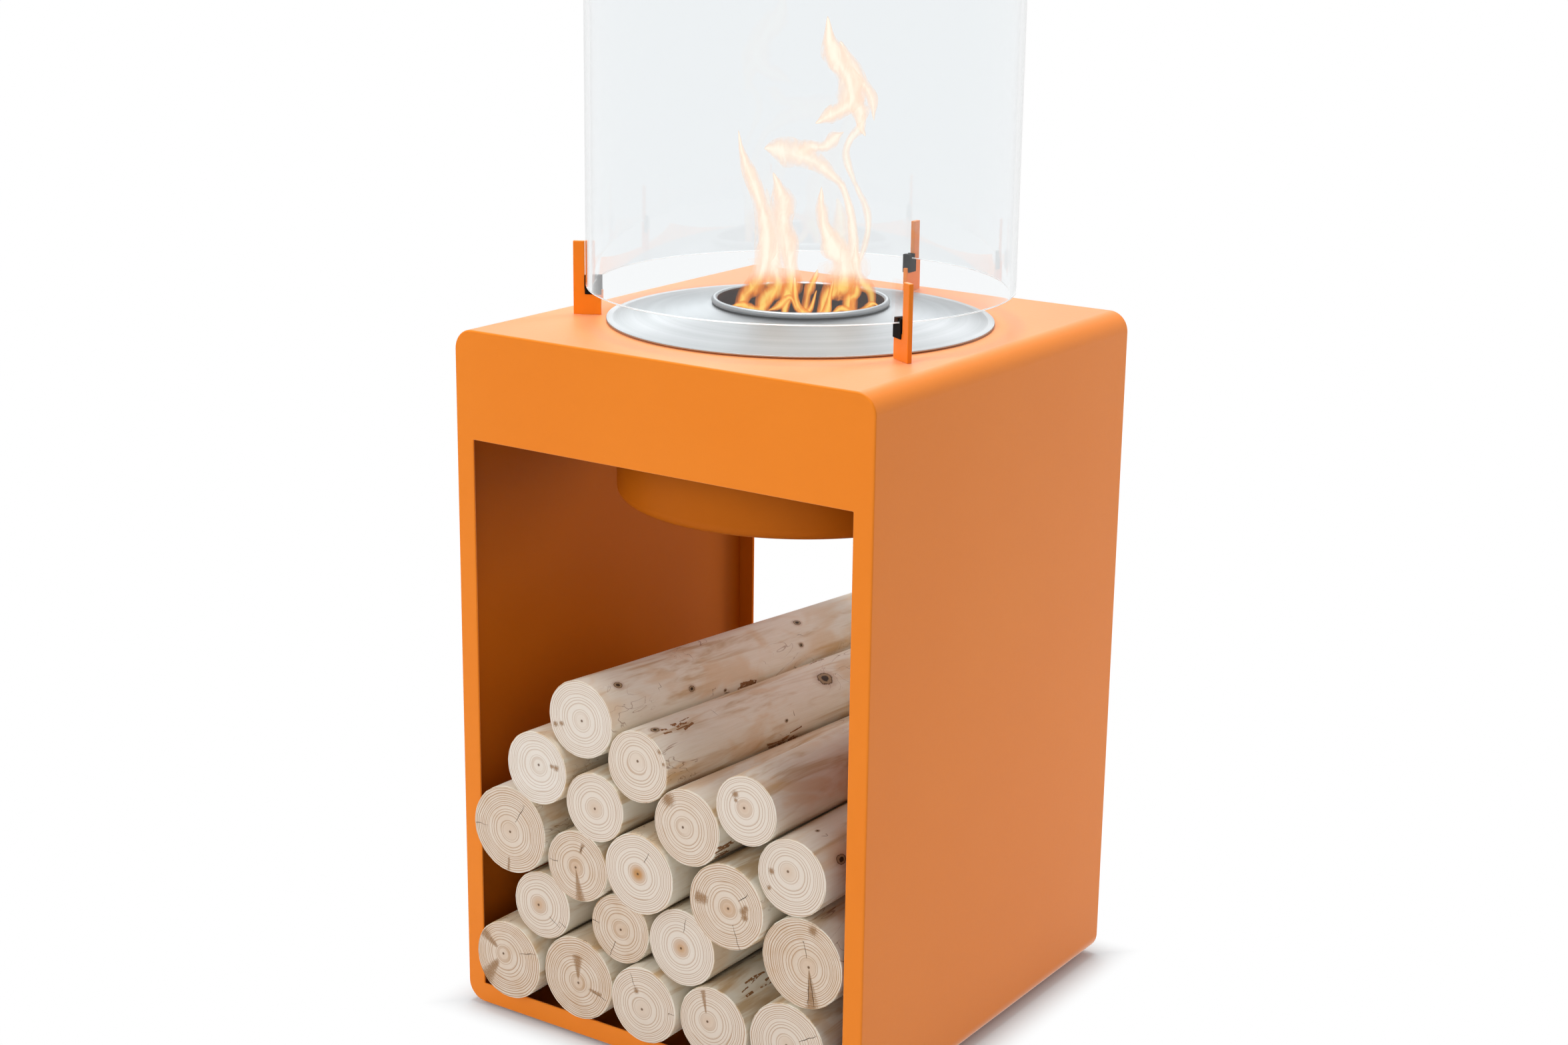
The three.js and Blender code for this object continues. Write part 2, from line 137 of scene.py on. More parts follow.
# Finishes
def powder_coat_surface(tree, place, thin_film, full_film, specular, sheen):
    """Polyester powder coat on steel, satin: the pebbled skin of baked powder under a soft broad shine."""
    # Slow changes of film thickness, about 150 mm across, shift the orange a little
    film = add_node(tree, "ShaderNodeTexNoise", None, {"Vector": place, "Scale": 7.0, "Detail": 2.0})
    colour = add_node(tree, "ShaderNodeMix", COLOUR_MIX, {
        0: film, 6: linear(thin_film), 7: linear(full_film)})
    # The pebbles are 0.3 mm wide on the real paint; they are drawn 1.1 mm wide so that they show
    pebbles = add_node(tree, "ShaderNodeTexNoise", None, {"Vector": place, "Scale": 900.0, "Detail": 2.0})
    # Orange peel: the longer waves of the flowed film, about 5 mm
    peel = add_node(tree, "ShaderNodeTexNoise", None, {"Vector": place, "Scale": 200.0, "Detail": 1.0})
    relief = add_node(tree, "ShaderNodeMath", TIMES_PLUS, {0: peel, 1: 0.8, 2: pebbles})
    bump = add_node(tree, "ShaderNodeBump", None, {"Strength": 0.16, "Distance": 0.3 * MM, "Height": relief})
    gloss = add_node(tree, "ShaderNodeMapRange", None, {"Value": pebbles, "To Min": 0.42, "To Max": 0.56})
    return add_node(tree, "ShaderNodeBsdfPrincipled", None, {
        "Base Color": colour, "Roughness": gloss, "IOR": 1.5, "Specular IOR Level": specular, "Normal": bump,
        "Sheen Weight": sheen, "Sheen Roughness": 0.3, "Sheen Tint": linear("#FFF2E6")})


def spun_relief(tree, place, spacing):
    """Height of the fine rings that the tool leaves on spun metal, from the distance to the upright axis."""
    flat = add_node(tree, "ShaderNodeVectorMath", TIMES, {0: place, 1: (1.0, 1.0, 0.0)})
    radius = add_node(tree, "ShaderNodeVectorMath", {"operation": "LENGTH"}, {0: flat})
    return add_node(tree, "ShaderNodeTexNoise", {"noise_dimensions": "1D"}, {
        "W": radius, "Scale": 1 / spacing, "Detail": 3.0, "Roughness": 0.6})


def spun_stainless_surface(tree, place):
    """Stainless steel, brushed on the lathe: rings of fine scratches draw light out into bright wedges."""
    # Scratches are 0.1 to 0.3 mm apart on the real plate; they are drawn 0.9 mm apart so that they show
    rings = spun_relief(tree, place, 0.9 * MM)
    broad = spun_relief(tree, place, 9 * MM)
    # Wiping leaves duller and brighter patches, about 55 mm across
    cloud = add_node(tree, "ShaderNodeTexNoise", None, {"Vector": place, "Scale": 18.0, "Detail": 3.0})
    tone = add_node(tree, "ShaderNodeMath", TIMES_PLUS, {0: rings, 1: 0.6, 2: broad})
    shade = add_node(tree, "ShaderNodeMapRange", None, {"Value": tone, "From Min": 0.45, "From Max": 1.15})
    colour = add_node(tree, "ShaderNodeMix", COLOUR_MIX, {
        0: shade, 6: linear("#A7A9AB"), 7: linear("#B5B7B9")})
    roughness = add_node(tree, "ShaderNodeMath", TIMES_PLUS, {0: cloud, 1: 0.10, 2: 0.40})
    bump = add_node(tree, "ShaderNodeBump", None, {"Strength": 0.06, "Distance": 0.1 * MM, "Height": rings})
    along = add_node(tree, "ShaderNodeTangent", {"direction_type": "RADIAL", "axis": "Z"})
    return add_node(tree, "ShaderNodeBsdfPrincipled", None, {
        "Base Color": colour, "Metallic": 1.0, "Roughness": roughness, "Anisotropic": 0.6, "Tangent": along,
        "Normal": bump})


def heat_tinted_surface(tree, place):
    """Stainless steel after many fires: straw and brown oxide near the rim, darker brown towards the bottom
    of the can.
    """
    height = add_node(tree, "ShaderNodeSeparateXYZ", None, {0: place}).outputs["Z"]
    # The edges of the tints wander by a few millimetres, in waves about 22 mm long
    wave = add_node(tree, "ShaderNodeTexNoise", None, {"Vector": place, "Scale": 45.0, "Detail": 4.0})
    level = add_node(tree, "ShaderNodeMath", TIMES_PLUS, {0: wave, 1: -9 * MM, 2: height})
    straw = add_node(tree, "ShaderNodeMapRange", EASED, {
        "Value": level, "From Min": 603 * MM, "From Max": 610 * MM})
    # The colour turns darker towards the bottom of the can, from 594 mm down to 560 mm
    lighter_upwards = add_node(tree, "ShaderNodeMapRange", EASED, {
        "Value": level, "From Min": 560 * MM, "From Max": 594 * MM})
    brown = add_node(tree, "ShaderNodeMix", COLOUR_MIX, {0: lighter_upwards, 6: linear("#120803"), 7: linear("#2E1206")})
    colour = add_node(tree, "ShaderNodeMix", COLOUR_MIX, {0: straw, 6: brown, 7: linear("#7C5034")})
    metal = add_node(tree, "ShaderNodeMapRange", None, {"Value": straw, "To Min": 0.1, "To Max": 0.9})
    dull = add_node(tree, "ShaderNodeMapRange", None, {"Value": straw, "To Min": 0.75, "To Max": 0.34})
    return add_node(tree, "ShaderNodeBsdfPrincipled", None, {
        "Base Color": colour, "Metallic": metal, "Roughness": dull, "Specular IOR Level": 0.04})


def clear_glass_surface(tree, place):
    """Tempered soda-lime glass, polished: clear, with a faint grey-green tint and bright edges."""
    # A trace of dust and wipe marks, about 70 mm across, keeps the reflections from being perfect
    wipe = add_node(tree, "ShaderNodeTexNoise", None, {"Vector": place, "Scale": 14.0, "Detail": 4.0})
    haze = add_node(tree, "ShaderNodeMapRange", None, {
        "Value": wipe, "From Min": 0.45, "From Max": 0.8, "To Min": 0.0, "To Max": 0.03})
    glass = add_node(tree, "ShaderNodeBsdfPrincipled", None, {
        "Base Color": linear("#F6F8F9"), "Roughness": haze, "IOR": 1.5, "Transmission Weight": 1.0})
    # Light on its way to a surface passes straight through, so that the glass casts hardly any shadow
    through = add_node(tree, "ShaderNodeBsdfTransparent", None, {"Color": linear("#F8FBFB")})
    ray = add_node(tree, "ShaderNodeLightPath")
    return add_node(tree, "ShaderNodeMixShader", None, {
        0: ray.outputs["Is Shadow Ray"], 1: glass, 2: through})


def ground_rim_surface(tree, place):
    """Tempered glass, ground at the rim: a satin, slightly milky band that lights up as a white line."""
    # The marks of the grinding are about 0.1 mm on the real rim, drawn 1.1 mm
    grit = add_node(tree, "ShaderNodeTexNoise", None, {"Vector": place, "Scale": 900.0, "Detail": 2.0})
    satin = add_node(tree, "ShaderNodeMapRange", None, {"Value": grit, "To Min": 0.25, "To Max": 0.45})
    return add_node(tree, "ShaderNodeBsdfPrincipled", None, {
        "Base Color": linear("#F4F7F8"), "Roughness": satin, "IOR": 1.5, "Transmission Weight": 0.72})


def black_rubber_surface(tree, place):
    """Silicone rubber, moulded, black: dead matt with a dusty bloom on the high spots."""
    # Moulding texture of about 0.4 mm, drawn 0.8 mm
    grain = add_node(tree, "ShaderNodeTexNoise", None, {"Vector": place, "Scale": 1200.0, "Detail": 2.0})
    bloom = add_node(tree, "ShaderNodeTexNoise", None, {"Vector": place, "Scale": 160.0, "Detail": 3.0})
    colour = add_node(tree, "ShaderNodeMix", COLOUR_MIX, {
        0: bloom, 6: linear("#060606"), 7: linear("#100F0E")})
    rough = add_node(tree, "ShaderNodeMapRange", None, {"Value": bloom, "To Min": 0.6, "To Max": 0.8})
    bump = add_node(tree, "ShaderNodeBump", None, {"Strength": 0.25, "Distance": 0.2 * MM, "Height": grain})
    return add_node(tree, "ShaderNodeBsdfPrincipled", None, {
        "Base Color": colour, "Roughness": rough, "IOR": 1.41, "Specular IOR Level": 0.2, "Normal": bump})


def zinc_surface(tree, place):
    """Bright zinc plate on steel: bluish silver, clouded by the bath."""
    # The clouds are about 4 mm across
    cloud = add_node(tree, "ShaderNodeTexNoise", None, {"Vector": place, "Scale": 260.0, "Detail": 4.0})
    colour = add_node(tree, "ShaderNodeMix", COLOUR_MIX, {
        0: cloud, 6: linear("#A9AEB3"), 7: linear("#CDD1D4")})
    rough = add_node(tree, "ShaderNodeMapRange", None, {"Value": cloud, "To Min": 0.24, "To Max": 0.42})
    return add_node(tree, "ShaderNodeBsdfPrincipled", None, {
        "Base Color": colour, "Metallic": 1.0, "Roughness": rough})


def ceramic_wool_surface(tree, place):
    """Pressed ceramic fibre: chalky off-white felt with fine tangled fibres and a few scorched spots."""
    # Tangles of fibre are about 2.4 mm across, and the scorched spots about 26 mm
    fibres = add_node(tree, "ShaderNodeTexNoise", None, {
        "Vector": place, "Scale": 420.0, "Detail": 5.0, "Distortion": 2.5})
    scorch = add_node(tree, "ShaderNodeTexNoise", None, {"Vector": place, "Scale": 38.0, "Detail": 3.0})
    burnt = add_node(tree, "ShaderNodeMapRange", EASED, {"Value": scorch, "From Min": 0.56, "From Max": 0.72})
    felt = add_node(tree, "ShaderNodeMix", COLOUR_MIX, {
        0: fibres, 6: linear("#CFC8B9"), 7: linear("#EFEBE2")})
    colour = add_node(tree, "ShaderNodeMix", COLOUR_MIX, {0: burnt, 6: felt, 7: linear("#9B8468")})
    bump = add_node(tree, "ShaderNodeBump", None, {"Strength": 0.7, "Distance": 0.6 * MM, "Height": fibres})
    return add_node(tree, "ShaderNodeBsdfPrincipled", None, {
        "Base Color": colour, "Roughness": 0.95, "Normal": bump})


def log_side_surface(tree, _):
    """Pine, peeled and dried: silky pale sapwood with long stains, brown beetle tracks, knots and bark."""
    grain, habit, knot = (add_node(tree, "ShaderNodeAttribute", {"attribute_name": name}).outputs["Vector"]
                          for name in ("grain", "habit", "knot"))
    habits = add_node(tree, "ShaderNodeSeparateXYZ", None, {0: habit})
    # Stains run along the log: they are about 130 mm long and a seventh of that wide
    drawn_out = add_node(tree, "ShaderNodeMapping", None, {"Vector": grain, "Scale": (1.0, 1.0, 0.14)})
    stain = add_node(tree, "ShaderNodeTexNoise", None, {
        "Vector": drawn_out, "Scale": 55.0, "Detail": 4.0, "Roughness": 0.62, "Distortion": 0.6})
    stained = add_node(tree, "ShaderNodeMapRange", EASED, {
        "Value": stain, "From Min": 0.48, "From Max": 0.68, "To Max": 0.72})
    # Fibre streaks about 1 mm wide, drawn 1.6 mm
    fibre_space = add_node(tree, "ShaderNodeMapping", None, {"Vector": grain, "Scale": (1.0, 1.0, 0.05)})
    fibre = add_node(tree, "ShaderNodeTexNoise", None, {
        "Vector": fibre_space, "Scale": 620.0, "Detail": 3.0, "Roughness": 0.7})
    # Tan patches, about 40 mm across and longer than they are wide
    patch_space = add_node(tree, "ShaderNodeMapping", None, {"Vector": grain, "Scale": (1.0, 1.0, 0.4)})
    blush = add_node(tree, "ShaderNodeTexNoise", None, {
        "Vector": patch_space, "Scale": 26.0, "Detail": 3.0, "Distortion": 1.0})
    blushed = add_node(tree, "ShaderNodeMapRange", EASED, {
        "Value": blush, "From Min": 0.48, "From Max": 0.64, "To Max": 0.42})
    # Beetle tracks: thin winding lines about 2 mm wide, where a warped noise crosses its middle value
    track = add_node(tree, "ShaderNodeTexNoise", None, {
        "Vector": patch_space, "Scale": 34.0, "Detail": 2.5, "Distortion": 2.2})
    off_middle = add_node(tree, "ShaderNodeMath", {"operation": "SUBTRACT"}, {0: track, 1: 0.53})
    off_track = add_node(tree, "ShaderNodeMath", {"operation": "ABSOLUTE"}, {0: off_middle})
    on_track = add_node(tree, "ShaderNodeMapRange", EASED, {
        "Value": off_track, "From Min": 0.002, "From Max": 0.010, "To Min": 1.0, "To Max": 0.0})
    where = add_node(tree, "ShaderNodeTexNoise", None, {"Vector": patch_space, "Scale": 17.0, "Detail": 1.0})
    shown = add_node(tree, "ShaderNodeMapRange", EASED, {
        "Value": where, "From Min": 0.50, "From Max": 0.60, "To Max": 0.62})
    tracks = add_node(tree, "ShaderNodeMath", TIMES, {0: on_track, 1: shown})
    # Scraps of bark: ragged brown patches up to 25 mm across, more of them on some logs
    bark = add_node(tree, "ShaderNodeTexNoise", None, {
        "Vector": patch_space, "Scale": 40.0, "Detail": 6.0, "Roughness": 0.68})
    bark_level = add_node(tree, "ShaderNodeMath", {"operation": "ADD"}, {0: bark, 1: habits.outputs["Z"]})
    barked = add_node(tree, "ShaderNodeMapRange", EASED, {
        "Value": bark_level, "From Min": 0.735, "From Max": 0.77})
    bark_tone = add_node(tree, "ShaderNodeMix", COLOUR_MIX, {
        0: fibre, 6: linear("#4E3624"), 7: linear("#A4724A")})
    # Knots: a dark heart, a lighter ring, a thin dark edge and a brown flare along the grain
    ragged = add_node(tree, "ShaderNodeTexNoise", None, {"Vector": grain, "Scale": 260.0, "Detail": 2.0})
    reach = add_node(tree, "ShaderNodeVectorMath", {"operation": "LENGTH"}, {0: knot})
    knot_place = add_node(tree, "ShaderNodeMath", TIMES_PLUS, {0: ragged, 1: 0.45, 2: reach})
    flare = add_node(tree, "ShaderNodeMapRange", EASED, {
        "Value": knot_place, "From Min": 1.1, "From Max": 2.2, "To Min": 0.4, "To Max": 0.0})
    body = add_node(tree, "ShaderNodeMapRange", None, {
        "Value": knot_place, "From Min": 1.15, "From Max": 1.28, "To Min": 1.0, "To Max": 0.0})
    ring = add_node(tree, "ShaderNodeMapRange", None, {
        "Value": knot_place, "From Min": 0.62, "From Max": 0.78})
    rim = add_node(tree, "ShaderNodeMapRange", None, {
        "Value": knot_place, "From Min": 1.02, "From Max": 1.14})
    knot_wood = add_node(tree, "ShaderNodeMix", COLOUR_MIX, {
        0: ring, 6: linear("#3A2818"), 7: linear("#A88F70")})
    knot_tone = add_node(tree, "ShaderNodeMix", COLOUR_MIX, {0: rim, 6: knot_wood, 7: linear("#5A4029")})
    # Pale wood first, then each mark over it
    colour = add_node(tree, "ShaderNodeMix", COLOUR_MIX, {
        0: fibre, 6: linear("#ECE1CC"), 7: linear("#FBF6EA")})
    for share, mark in ((stained, linear("#C29A5E")), (blushed, linear("#DDB27A")),
                        (tracks, linear("#8E5F37")), (barked, bark_tone), (flare, linear("#A87850")),
                        (body, knot_tone)):
        colour = add_node(tree, "ShaderNodeMix", COLOUR_MIX, {0: share, 6: colour, 7: mark})
    height = add_node(tree, "ShaderNodeMath", TIMES_PLUS, {0: stain, 1: 1.5, 2: fibre})
    bump = add_node(tree, "ShaderNodeBump", None, {"Strength": 0.45, "Distance": 0.35 * MM, "Height": height})
    return add_node(tree, "ShaderNodeBsdfPrincipled", None, {
        "Base Color": colour, "Roughness": 0.62, "IOR": 1.45, "Specular IOR Level": 0.3, "Normal": bump})


def log_end_surface(tree, _):
    """Pine, sawn across and dried: cream early wood, thin tan late-wood rings, a brown pith, and painted
    shade in the cracks.
    """
    grain, habit, bearing = (add_node(tree, "ShaderNodeAttribute", {"attribute_name": name}).outputs["Vector"]
                             for name in ("grain", "habit", "bearing"))
    radius, branch, crack_shade = (add_node(tree, "ShaderNodeAttribute", {"attribute_name": name}).outputs["Fac"]
                             for name in ("ring", "branch", "crack_shade"))
    habits = add_node(tree, "ShaderNodeSeparateXYZ", None, {0: habit})
    wobble = add_node(tree, "ShaderNodeTexNoise", None, {"Vector": grain, "Scale": 38.0, "Detail": 1.0})
    pace = add_node(tree, "ShaderNodeTexNoise", {"noise_dimensions": "1D"}, {
        "W": radius, "Scale": 150.0, "Detail": 1.0})
    # Growth rings are 5 mm apart near the pith and 1.8 mm apart at the rim; they bend by about 0.5 mm
    bent = add_node(tree, "ShaderNodeMath", TIMES_PLUS, {0: wobble, 1: 2.6 * MM, 2: radius})
    closing = add_node(tree, "ShaderNodeMath", TIMES_PLUS, {0: bent, 1: 6900.0, 2: 120.0})
    counted = add_node(tree, "ShaderNodeMath", TIMES, {0: bent, 1: closing})
    uneven = add_node(tree, "ShaderNodeMath", TIMES_PLUS, {0: pace, 1: 2.6, 2: counted})
    year = add_node(tree, "ShaderNodeMath", {"operation": "FRACT"}, {0: uneven})
    late = add_node(tree, "ShaderNodeMapRange", EASED, {"Value": year, "From Min": 0.55, "From Max": 0.93})
    sharp_end = add_node(tree, "ShaderNodeMapRange", None, {
        "Value": year, "From Min": 0.93, "From Max": 1.0, "To Min": 1.0, "To Max": 0.0})
    outwards = add_node(tree, "ShaderNodeMapRange", None, {
        "Value": radius, "From Min": 4 * MM, "From Max": 30 * MM, "To Min": 0.35, "To Max": 0.8})
    ring = add_node(tree, "ShaderNodeMath", TIMES, {0: late, 1: sharp_end})
    # The tanner logs have the bolder rings
    boldness = add_node(tree, "ShaderNodeMapRange", None, {
        "Value": habits.outputs["X"], "To Min": 0.8, "To Max": 1.6})
    ring_bold = add_node(tree, "ShaderNodeMath", TIMES, {0: ring, 1: boldness})
    ring_share = add_node(tree, "ShaderNodeMath", TIMES, {0: ring_bold, 1: outwards})
    cloud = add_node(tree, "ShaderNodeTexNoise", None, {"Vector": grain, "Scale": 70.0, "Detail": 4.0})
    tan_share = add_node(tree, "ShaderNodeMath", TIMES, {0: habits.outputs["X"], 1: cloud})
    # Orange-brown heart round the pith of some logs, up to 12 mm in radius
    heart = add_node(tree, "ShaderNodeMapRange", EASED, {
        "Value": bent, "From Min": 3.0 * MM, "From Max": 12.0 * MM, "To Min": 1.0, "To Max": 0.0})
    heart_share = add_node(tree, "ShaderNodeMath", TIMES, {0: heart, 1: habits.outputs["Y"]})
    # Branches cut lengthwise show as brown rays from the pith, and specks lie round them
    speck = add_node(tree, "ShaderNodeTexNoise", None, {
        "Vector": grain, "Scale": 330.0, "Detail": 4.0, "Roughness": 0.7})
    streaks = add_node(tree, "ShaderNodeTexNoise", None, {
        "Vector": bearing, "Scale": 22.0, "Detail": 4.0, "Roughness": 0.8})
    streaked = add_node(tree, "ShaderNodeMath", TIMES_PLUS, {0: streaks, 1: 2.4, 2: branch})
    speckled = add_node(tree, "ShaderNodeMath", TIMES_PLUS, {0: speck, 1: 0.6, 2: streaked})
    ray = add_node(tree, "ShaderNodeMapRange", EASED, {
        "Value": speckled, "From Min": 1.6, "From Max": 2.6, "To Max": 0.9})
    pith = add_node(tree, "ShaderNodeMapRange", None, {
        "Value": radius, "From Min": 0.7 * MM, "From Max": 1.5 * MM, "To Min": 0.9, "To Max": 0.0})
    # Cream wood first, then each mark over it
    colour = add_node(tree, "ShaderNodeMix", COLOUR_MIX, {
        0: cloud, 6: linear("#E6DACC"), 7: linear("#F3EDE6")})
    # The near-black at the bottom of each crack is painted shade
    for share, mark in ((tan_share, "#CBA77E"), (ring_share, "#AE8052"), (heart_share, "#C08A4E"),
                        (ray, "#96704A"), (pith, "#5E4027"), (crack_shade, "#2B1D13")):
        colour = add_node(tree, "ShaderNodeMix", COLOUR_MIX, {0: share, 6: colour, 7: linear(mark)})
    # Pores and torn fibre, about 0.5 mm, drawn 0.9 mm
    pores = add_node(tree, "ShaderNodeTexNoise", None, {"Vector": grain, "Scale": 1100.0, "Detail": 2.0})
    relief = add_node(tree, "ShaderNodeMath", TIMES_PLUS, {0: ring, 1: 0.2, 2: pores})
    bump = add_node(tree, "ShaderNodeBump", None, {"Strength": 0.22, "Distance": 0.2 * MM, "Height": relief})
    return add_node(tree, "ShaderNodeBsdfPrincipled", None, {
        "Base Color": colour, "Roughness": 0.8, "IOR": 1.45, "Normal": bump})


def bark_scrap_surface(tree, place):
    """Pine bark, torn thin: dark red-brown corky leaves with paler broken edges."""
    # Corky layers about 2.4 mm across, with slower changes of tone about 17 mm across
    layers = add_node(tree, "ShaderNodeTexNoise", None, {"Vector": place, "Scale": 420.0, "Detail": 3.0})
    tone = add_node(tree, "ShaderNodeTexNoise", None, {"Vector": place, "Scale": 60.0, "Detail": 2.0})
    dark = add_node(tree, "ShaderNodeMix", COLOUR_MIX, {
        0: layers, 6: linear("#54371F"), 7: linear("#9A6A42")})
    colour = add_node(tree, "ShaderNodeMix", COLOUR_MIX, {0: tone, 6: dark, 7: linear("#AE8056")})
    bump = add_node(tree, "ShaderNodeBump", None, {"Strength": 0.6, "Distance": 0.3 * MM, "Height": layers})
    return add_node(tree, "ShaderNodeBsdfPrincipled", None, {
        "Base Color": colour, "Roughness": 0.88, "IOR": 1.45, "Normal": bump})


def torn_fibre_surface(tree, place):
    """Pine fibre torn by the saw: pale straw, matt, a little darker in places."""
    # The tone changes about every 7 mm, so from one fibre to the next
    tone = add_node(tree, "ShaderNodeTexNoise", None, {"Vector": place, "Scale": 150.0, "Detail": 2.0})
    colour = add_node(tree, "ShaderNodeMix", COLOUR_MIX, {
        0: tone, 6: linear("#C9B08C"), 7: linear("#F1E7D6")})
    return add_node(tree, "ShaderNodeBsdfPrincipled", None, {
        "Base Color": colour, "Roughness": 0.85, "IOR": 1.45})


def flame_surface(tree, place):
    """Burning spirit: clear shells that glow orange in the burner's mouth, pale straw and peach above it."""
    edge, cover = (add_node(tree, "ShaderNodeAttribute", {"attribute_name": name}).outputs["Fac"]
                   for name in ("edge", "cover"))
    height = add_node(tree, "ShaderNodeSeparateXYZ", None, {0: place}).outputs["Z"]
    # The flicker is about 7 mm wide and four times as tall
    drawn_up = add_node(tree, "ShaderNodeMapping", None, {"Vector": place, "Scale": (1.0, 1.0, 0.25)})
    flicker = add_node(tree, "ShaderNodeTexNoise", None, {
        "Vector": drawn_up, "Scale": 150.0, "Detail": 3.0, "Distortion": 0.8})
    wavy_edge = add_node(tree, "ShaderNodeMath", TIMES_PLUS, {0: flicker, 1: 1.6, 2: edge})
    # The heart of a tongue is nearly white, then comes peach, and the rim thins out
    heat = add_node(tree, "ShaderNodeMapRange", EASED, {
        "Value": wavy_edge, "From Min": 0.7, "From Max": 1.5, "To Min": 1.0, "To Max": 0.0})
    rise = add_node(tree, "ShaderNodeMapRange", EASED, {
        "Value": height, "From Min": 620 * MM, "From Max": 636 * MM})
    low = add_node(tree, "ShaderNodeMix", COLOUR_MIX, {0: heat, 6: linear("#F2800F"), 7: linear("#FFD266")})
    high = add_node(tree, "ShaderNodeMix", COLOUR_MIX, {0: heat, 6: linear("#FFDDC4"), 7: linear("#FFF9E4")})
    colour = add_node(tree, "ShaderNodeMix", COLOUR_MIX, {0: rise, 6: low, 7: high})
    glow = add_node(tree, "ShaderNodeEmission", None, {"Color": colour, "Strength": 1.12})
    clear = add_node(tree, "ShaderNodeBsdfTransparent")
    thin_out = add_node(tree, "ShaderNodeMapRange", EASED, {
        "Value": wavy_edge, "From Min": 0.95, "From Max": 2.0, "To Min": 0.82, "To Max": 0.0})
    share = add_node(tree, "ShaderNodeMath", TIMES, {0: thin_out, 1: cover})
    return add_node(tree, "ShaderNodeMixShader", None, {0: share, 1: clear, 2: glow})


powder_coat = make_material("orange_powder_coat_satin", powder_coat_surface, "#F08216", "#F4891E", 0.3, 0.8)
# Inside the box the coat is a darker, duller orange: the darker colour is painted shade, which gives the log
# bay and the drum their deep brown-orange
shaded_inside_coat = make_material("orange_powder_coat_painted_shade_inside", powder_coat_surface,
                            "#B95E0C", "#C06512", 0.08, 0.0)
spun_stainless = make_material("stainless_steel_spun_brushed", spun_stainless_surface)
heat_tinted_steel = make_material("stainless_steel_heat_tinted", heat_tinted_surface)
clear_glass = make_material("tempered_glass_clear", clear_glass_surface)
ground_rim = make_material("tempered_glass_ground_rim", ground_rim_surface)
black_rubber = make_material("silicone_rubber_black_moulded", black_rubber_surface)
zinc_plate = make_material("zinc_plate_bright", zinc_surface)
ceramic_wool = make_material("ceramic_fibre_pressed", ceramic_wool_surface)
log_side = make_material("pine_log_peeled_side", log_side_surface)
log_end = make_material("pine_log_sawn_end", log_end_surface)
bark_scrap = make_material("pine_bark_scrap", bark_scrap_surface)
torn_fibre = make_material("pine_fibre_torn", torn_fibre_surface)
flame_glow = make_material("spirit_flame_glow", flame_surface)


# Mesh helpers
# Points of a CAD mesh that are closer than this are one point
WELD = 0.002 * MM
# Edges of a finished CAD mesh that are sharper than this are eased and stay crisp
FINISHED_CREASE = radians(40)


def new_object(name, data):
    """An object in the scene that shows a mesh, a lamp or a camera."""
    thing = bpy.data.objects.new(name, data)
    bpy.context.scene.collection.objects.link(thing)
    return thing


def store(mesh, name, values):
    """Puts a number, or a row of three, on every point of a mesh."""
    values = np.asarray(values, float)
    kind, key = ("FLOAT", "value") if values.ndim == 1 else ("FLOAT_VECTOR", "vector")
    mesh.attributes.new(name, kind, "POINT").data.foreach_set(key, values.ravel())


def signed_volume(points, faces):
    """Six times the volume inside a closed mesh, below zero where its faces point inwards."""
    total = 0.0
    for size in (3, 4):
        rows = np.array([face for face in faces if len(face) == size], dtype=int).reshape(-1, size)
        for corner in range(1, size - 1):
            a, b, c = (points[rows[:, k]] for k in (0, corner, corner + 1))
            total += float(np.einsum("ij,ij->", a, np.cross(b, c)))
    return total


def place_piece(piece, body, replaced):
    """Puts a piece on its body, in the place of the nodes that it stands for."""
    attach(piece, body)
    if replaced:
        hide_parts(*replaced)
    return piece


def bake_modifiers(piece):
    """Turns a piece and its modifiers into one plain mesh."""
    whole = bpy.data.meshes.new_from_object(piece.evaluated_get(bpy.context.evaluated_depsgraph_get()))
    piece.modifiers.clear()
    piece.data = whole
    whole.name = piece.name
    return whole


def keep_flats(piece):
    """Makes large faces hold their own shading, so that only the small faces along the edges bend it."""
    piece.modifiers.new("flat_faces", "WEIGHTED_NORMAL").keep_sharp = True
    bake_modifiers(piece)


def add_piece(name, points, faces, materials, body, replaced=(), face_materials=None, crease=35,
              flats=True):
    """A closed mesh with its faces outwards, smooth except where faces meet at more than the crease angle."""
    points = np.asarray(points, float)
    if signed_volume(points, faces) < 0:
        faces = [tuple(reversed(face)) for face in faces]
    mesh = bpy.data.meshes.new(name)
    mesh.from_pydata(points.tolist(), [], faces)
    for material in materials:
        mesh.materials.append(material)
    if face_materials is not None:
        mesh.polygons.foreach_set("material_index", np.asarray(face_materials, np.int32))
    mesh.shade_smooth()
    mesh.set_sharp_from_angle(angle=radians(crease))
    mesh.validate()
    piece = new_object(name, mesh)
    if flats:
        keep_flats(piece)
    return place_piece(piece, body, replaced)


def loops_to_faces(loop_count, around, closed):
    """Quads between neighbouring loops of points, and back from the last loop to the first if closed."""
    faces = []
    for row in range(loop_count if closed else loop_count - 1):
        low, high = row * around, ((row + 1) % loop_count) * around
        for k in range(around):
            n = (k + 1) % around
            faces.append((low + k, low + n, high + n, high + k))
    return faces


def fan(pole, first, around, is_last):
    """Triangles from a pole to a loop of points, which is the last in a row of loops or the first."""
    pairs = [(first + k, first + (k + 1) % around) for k in range(around)]
    return [(pole, a, b) if is_last else (pole, b, a) for a, b in pairs]


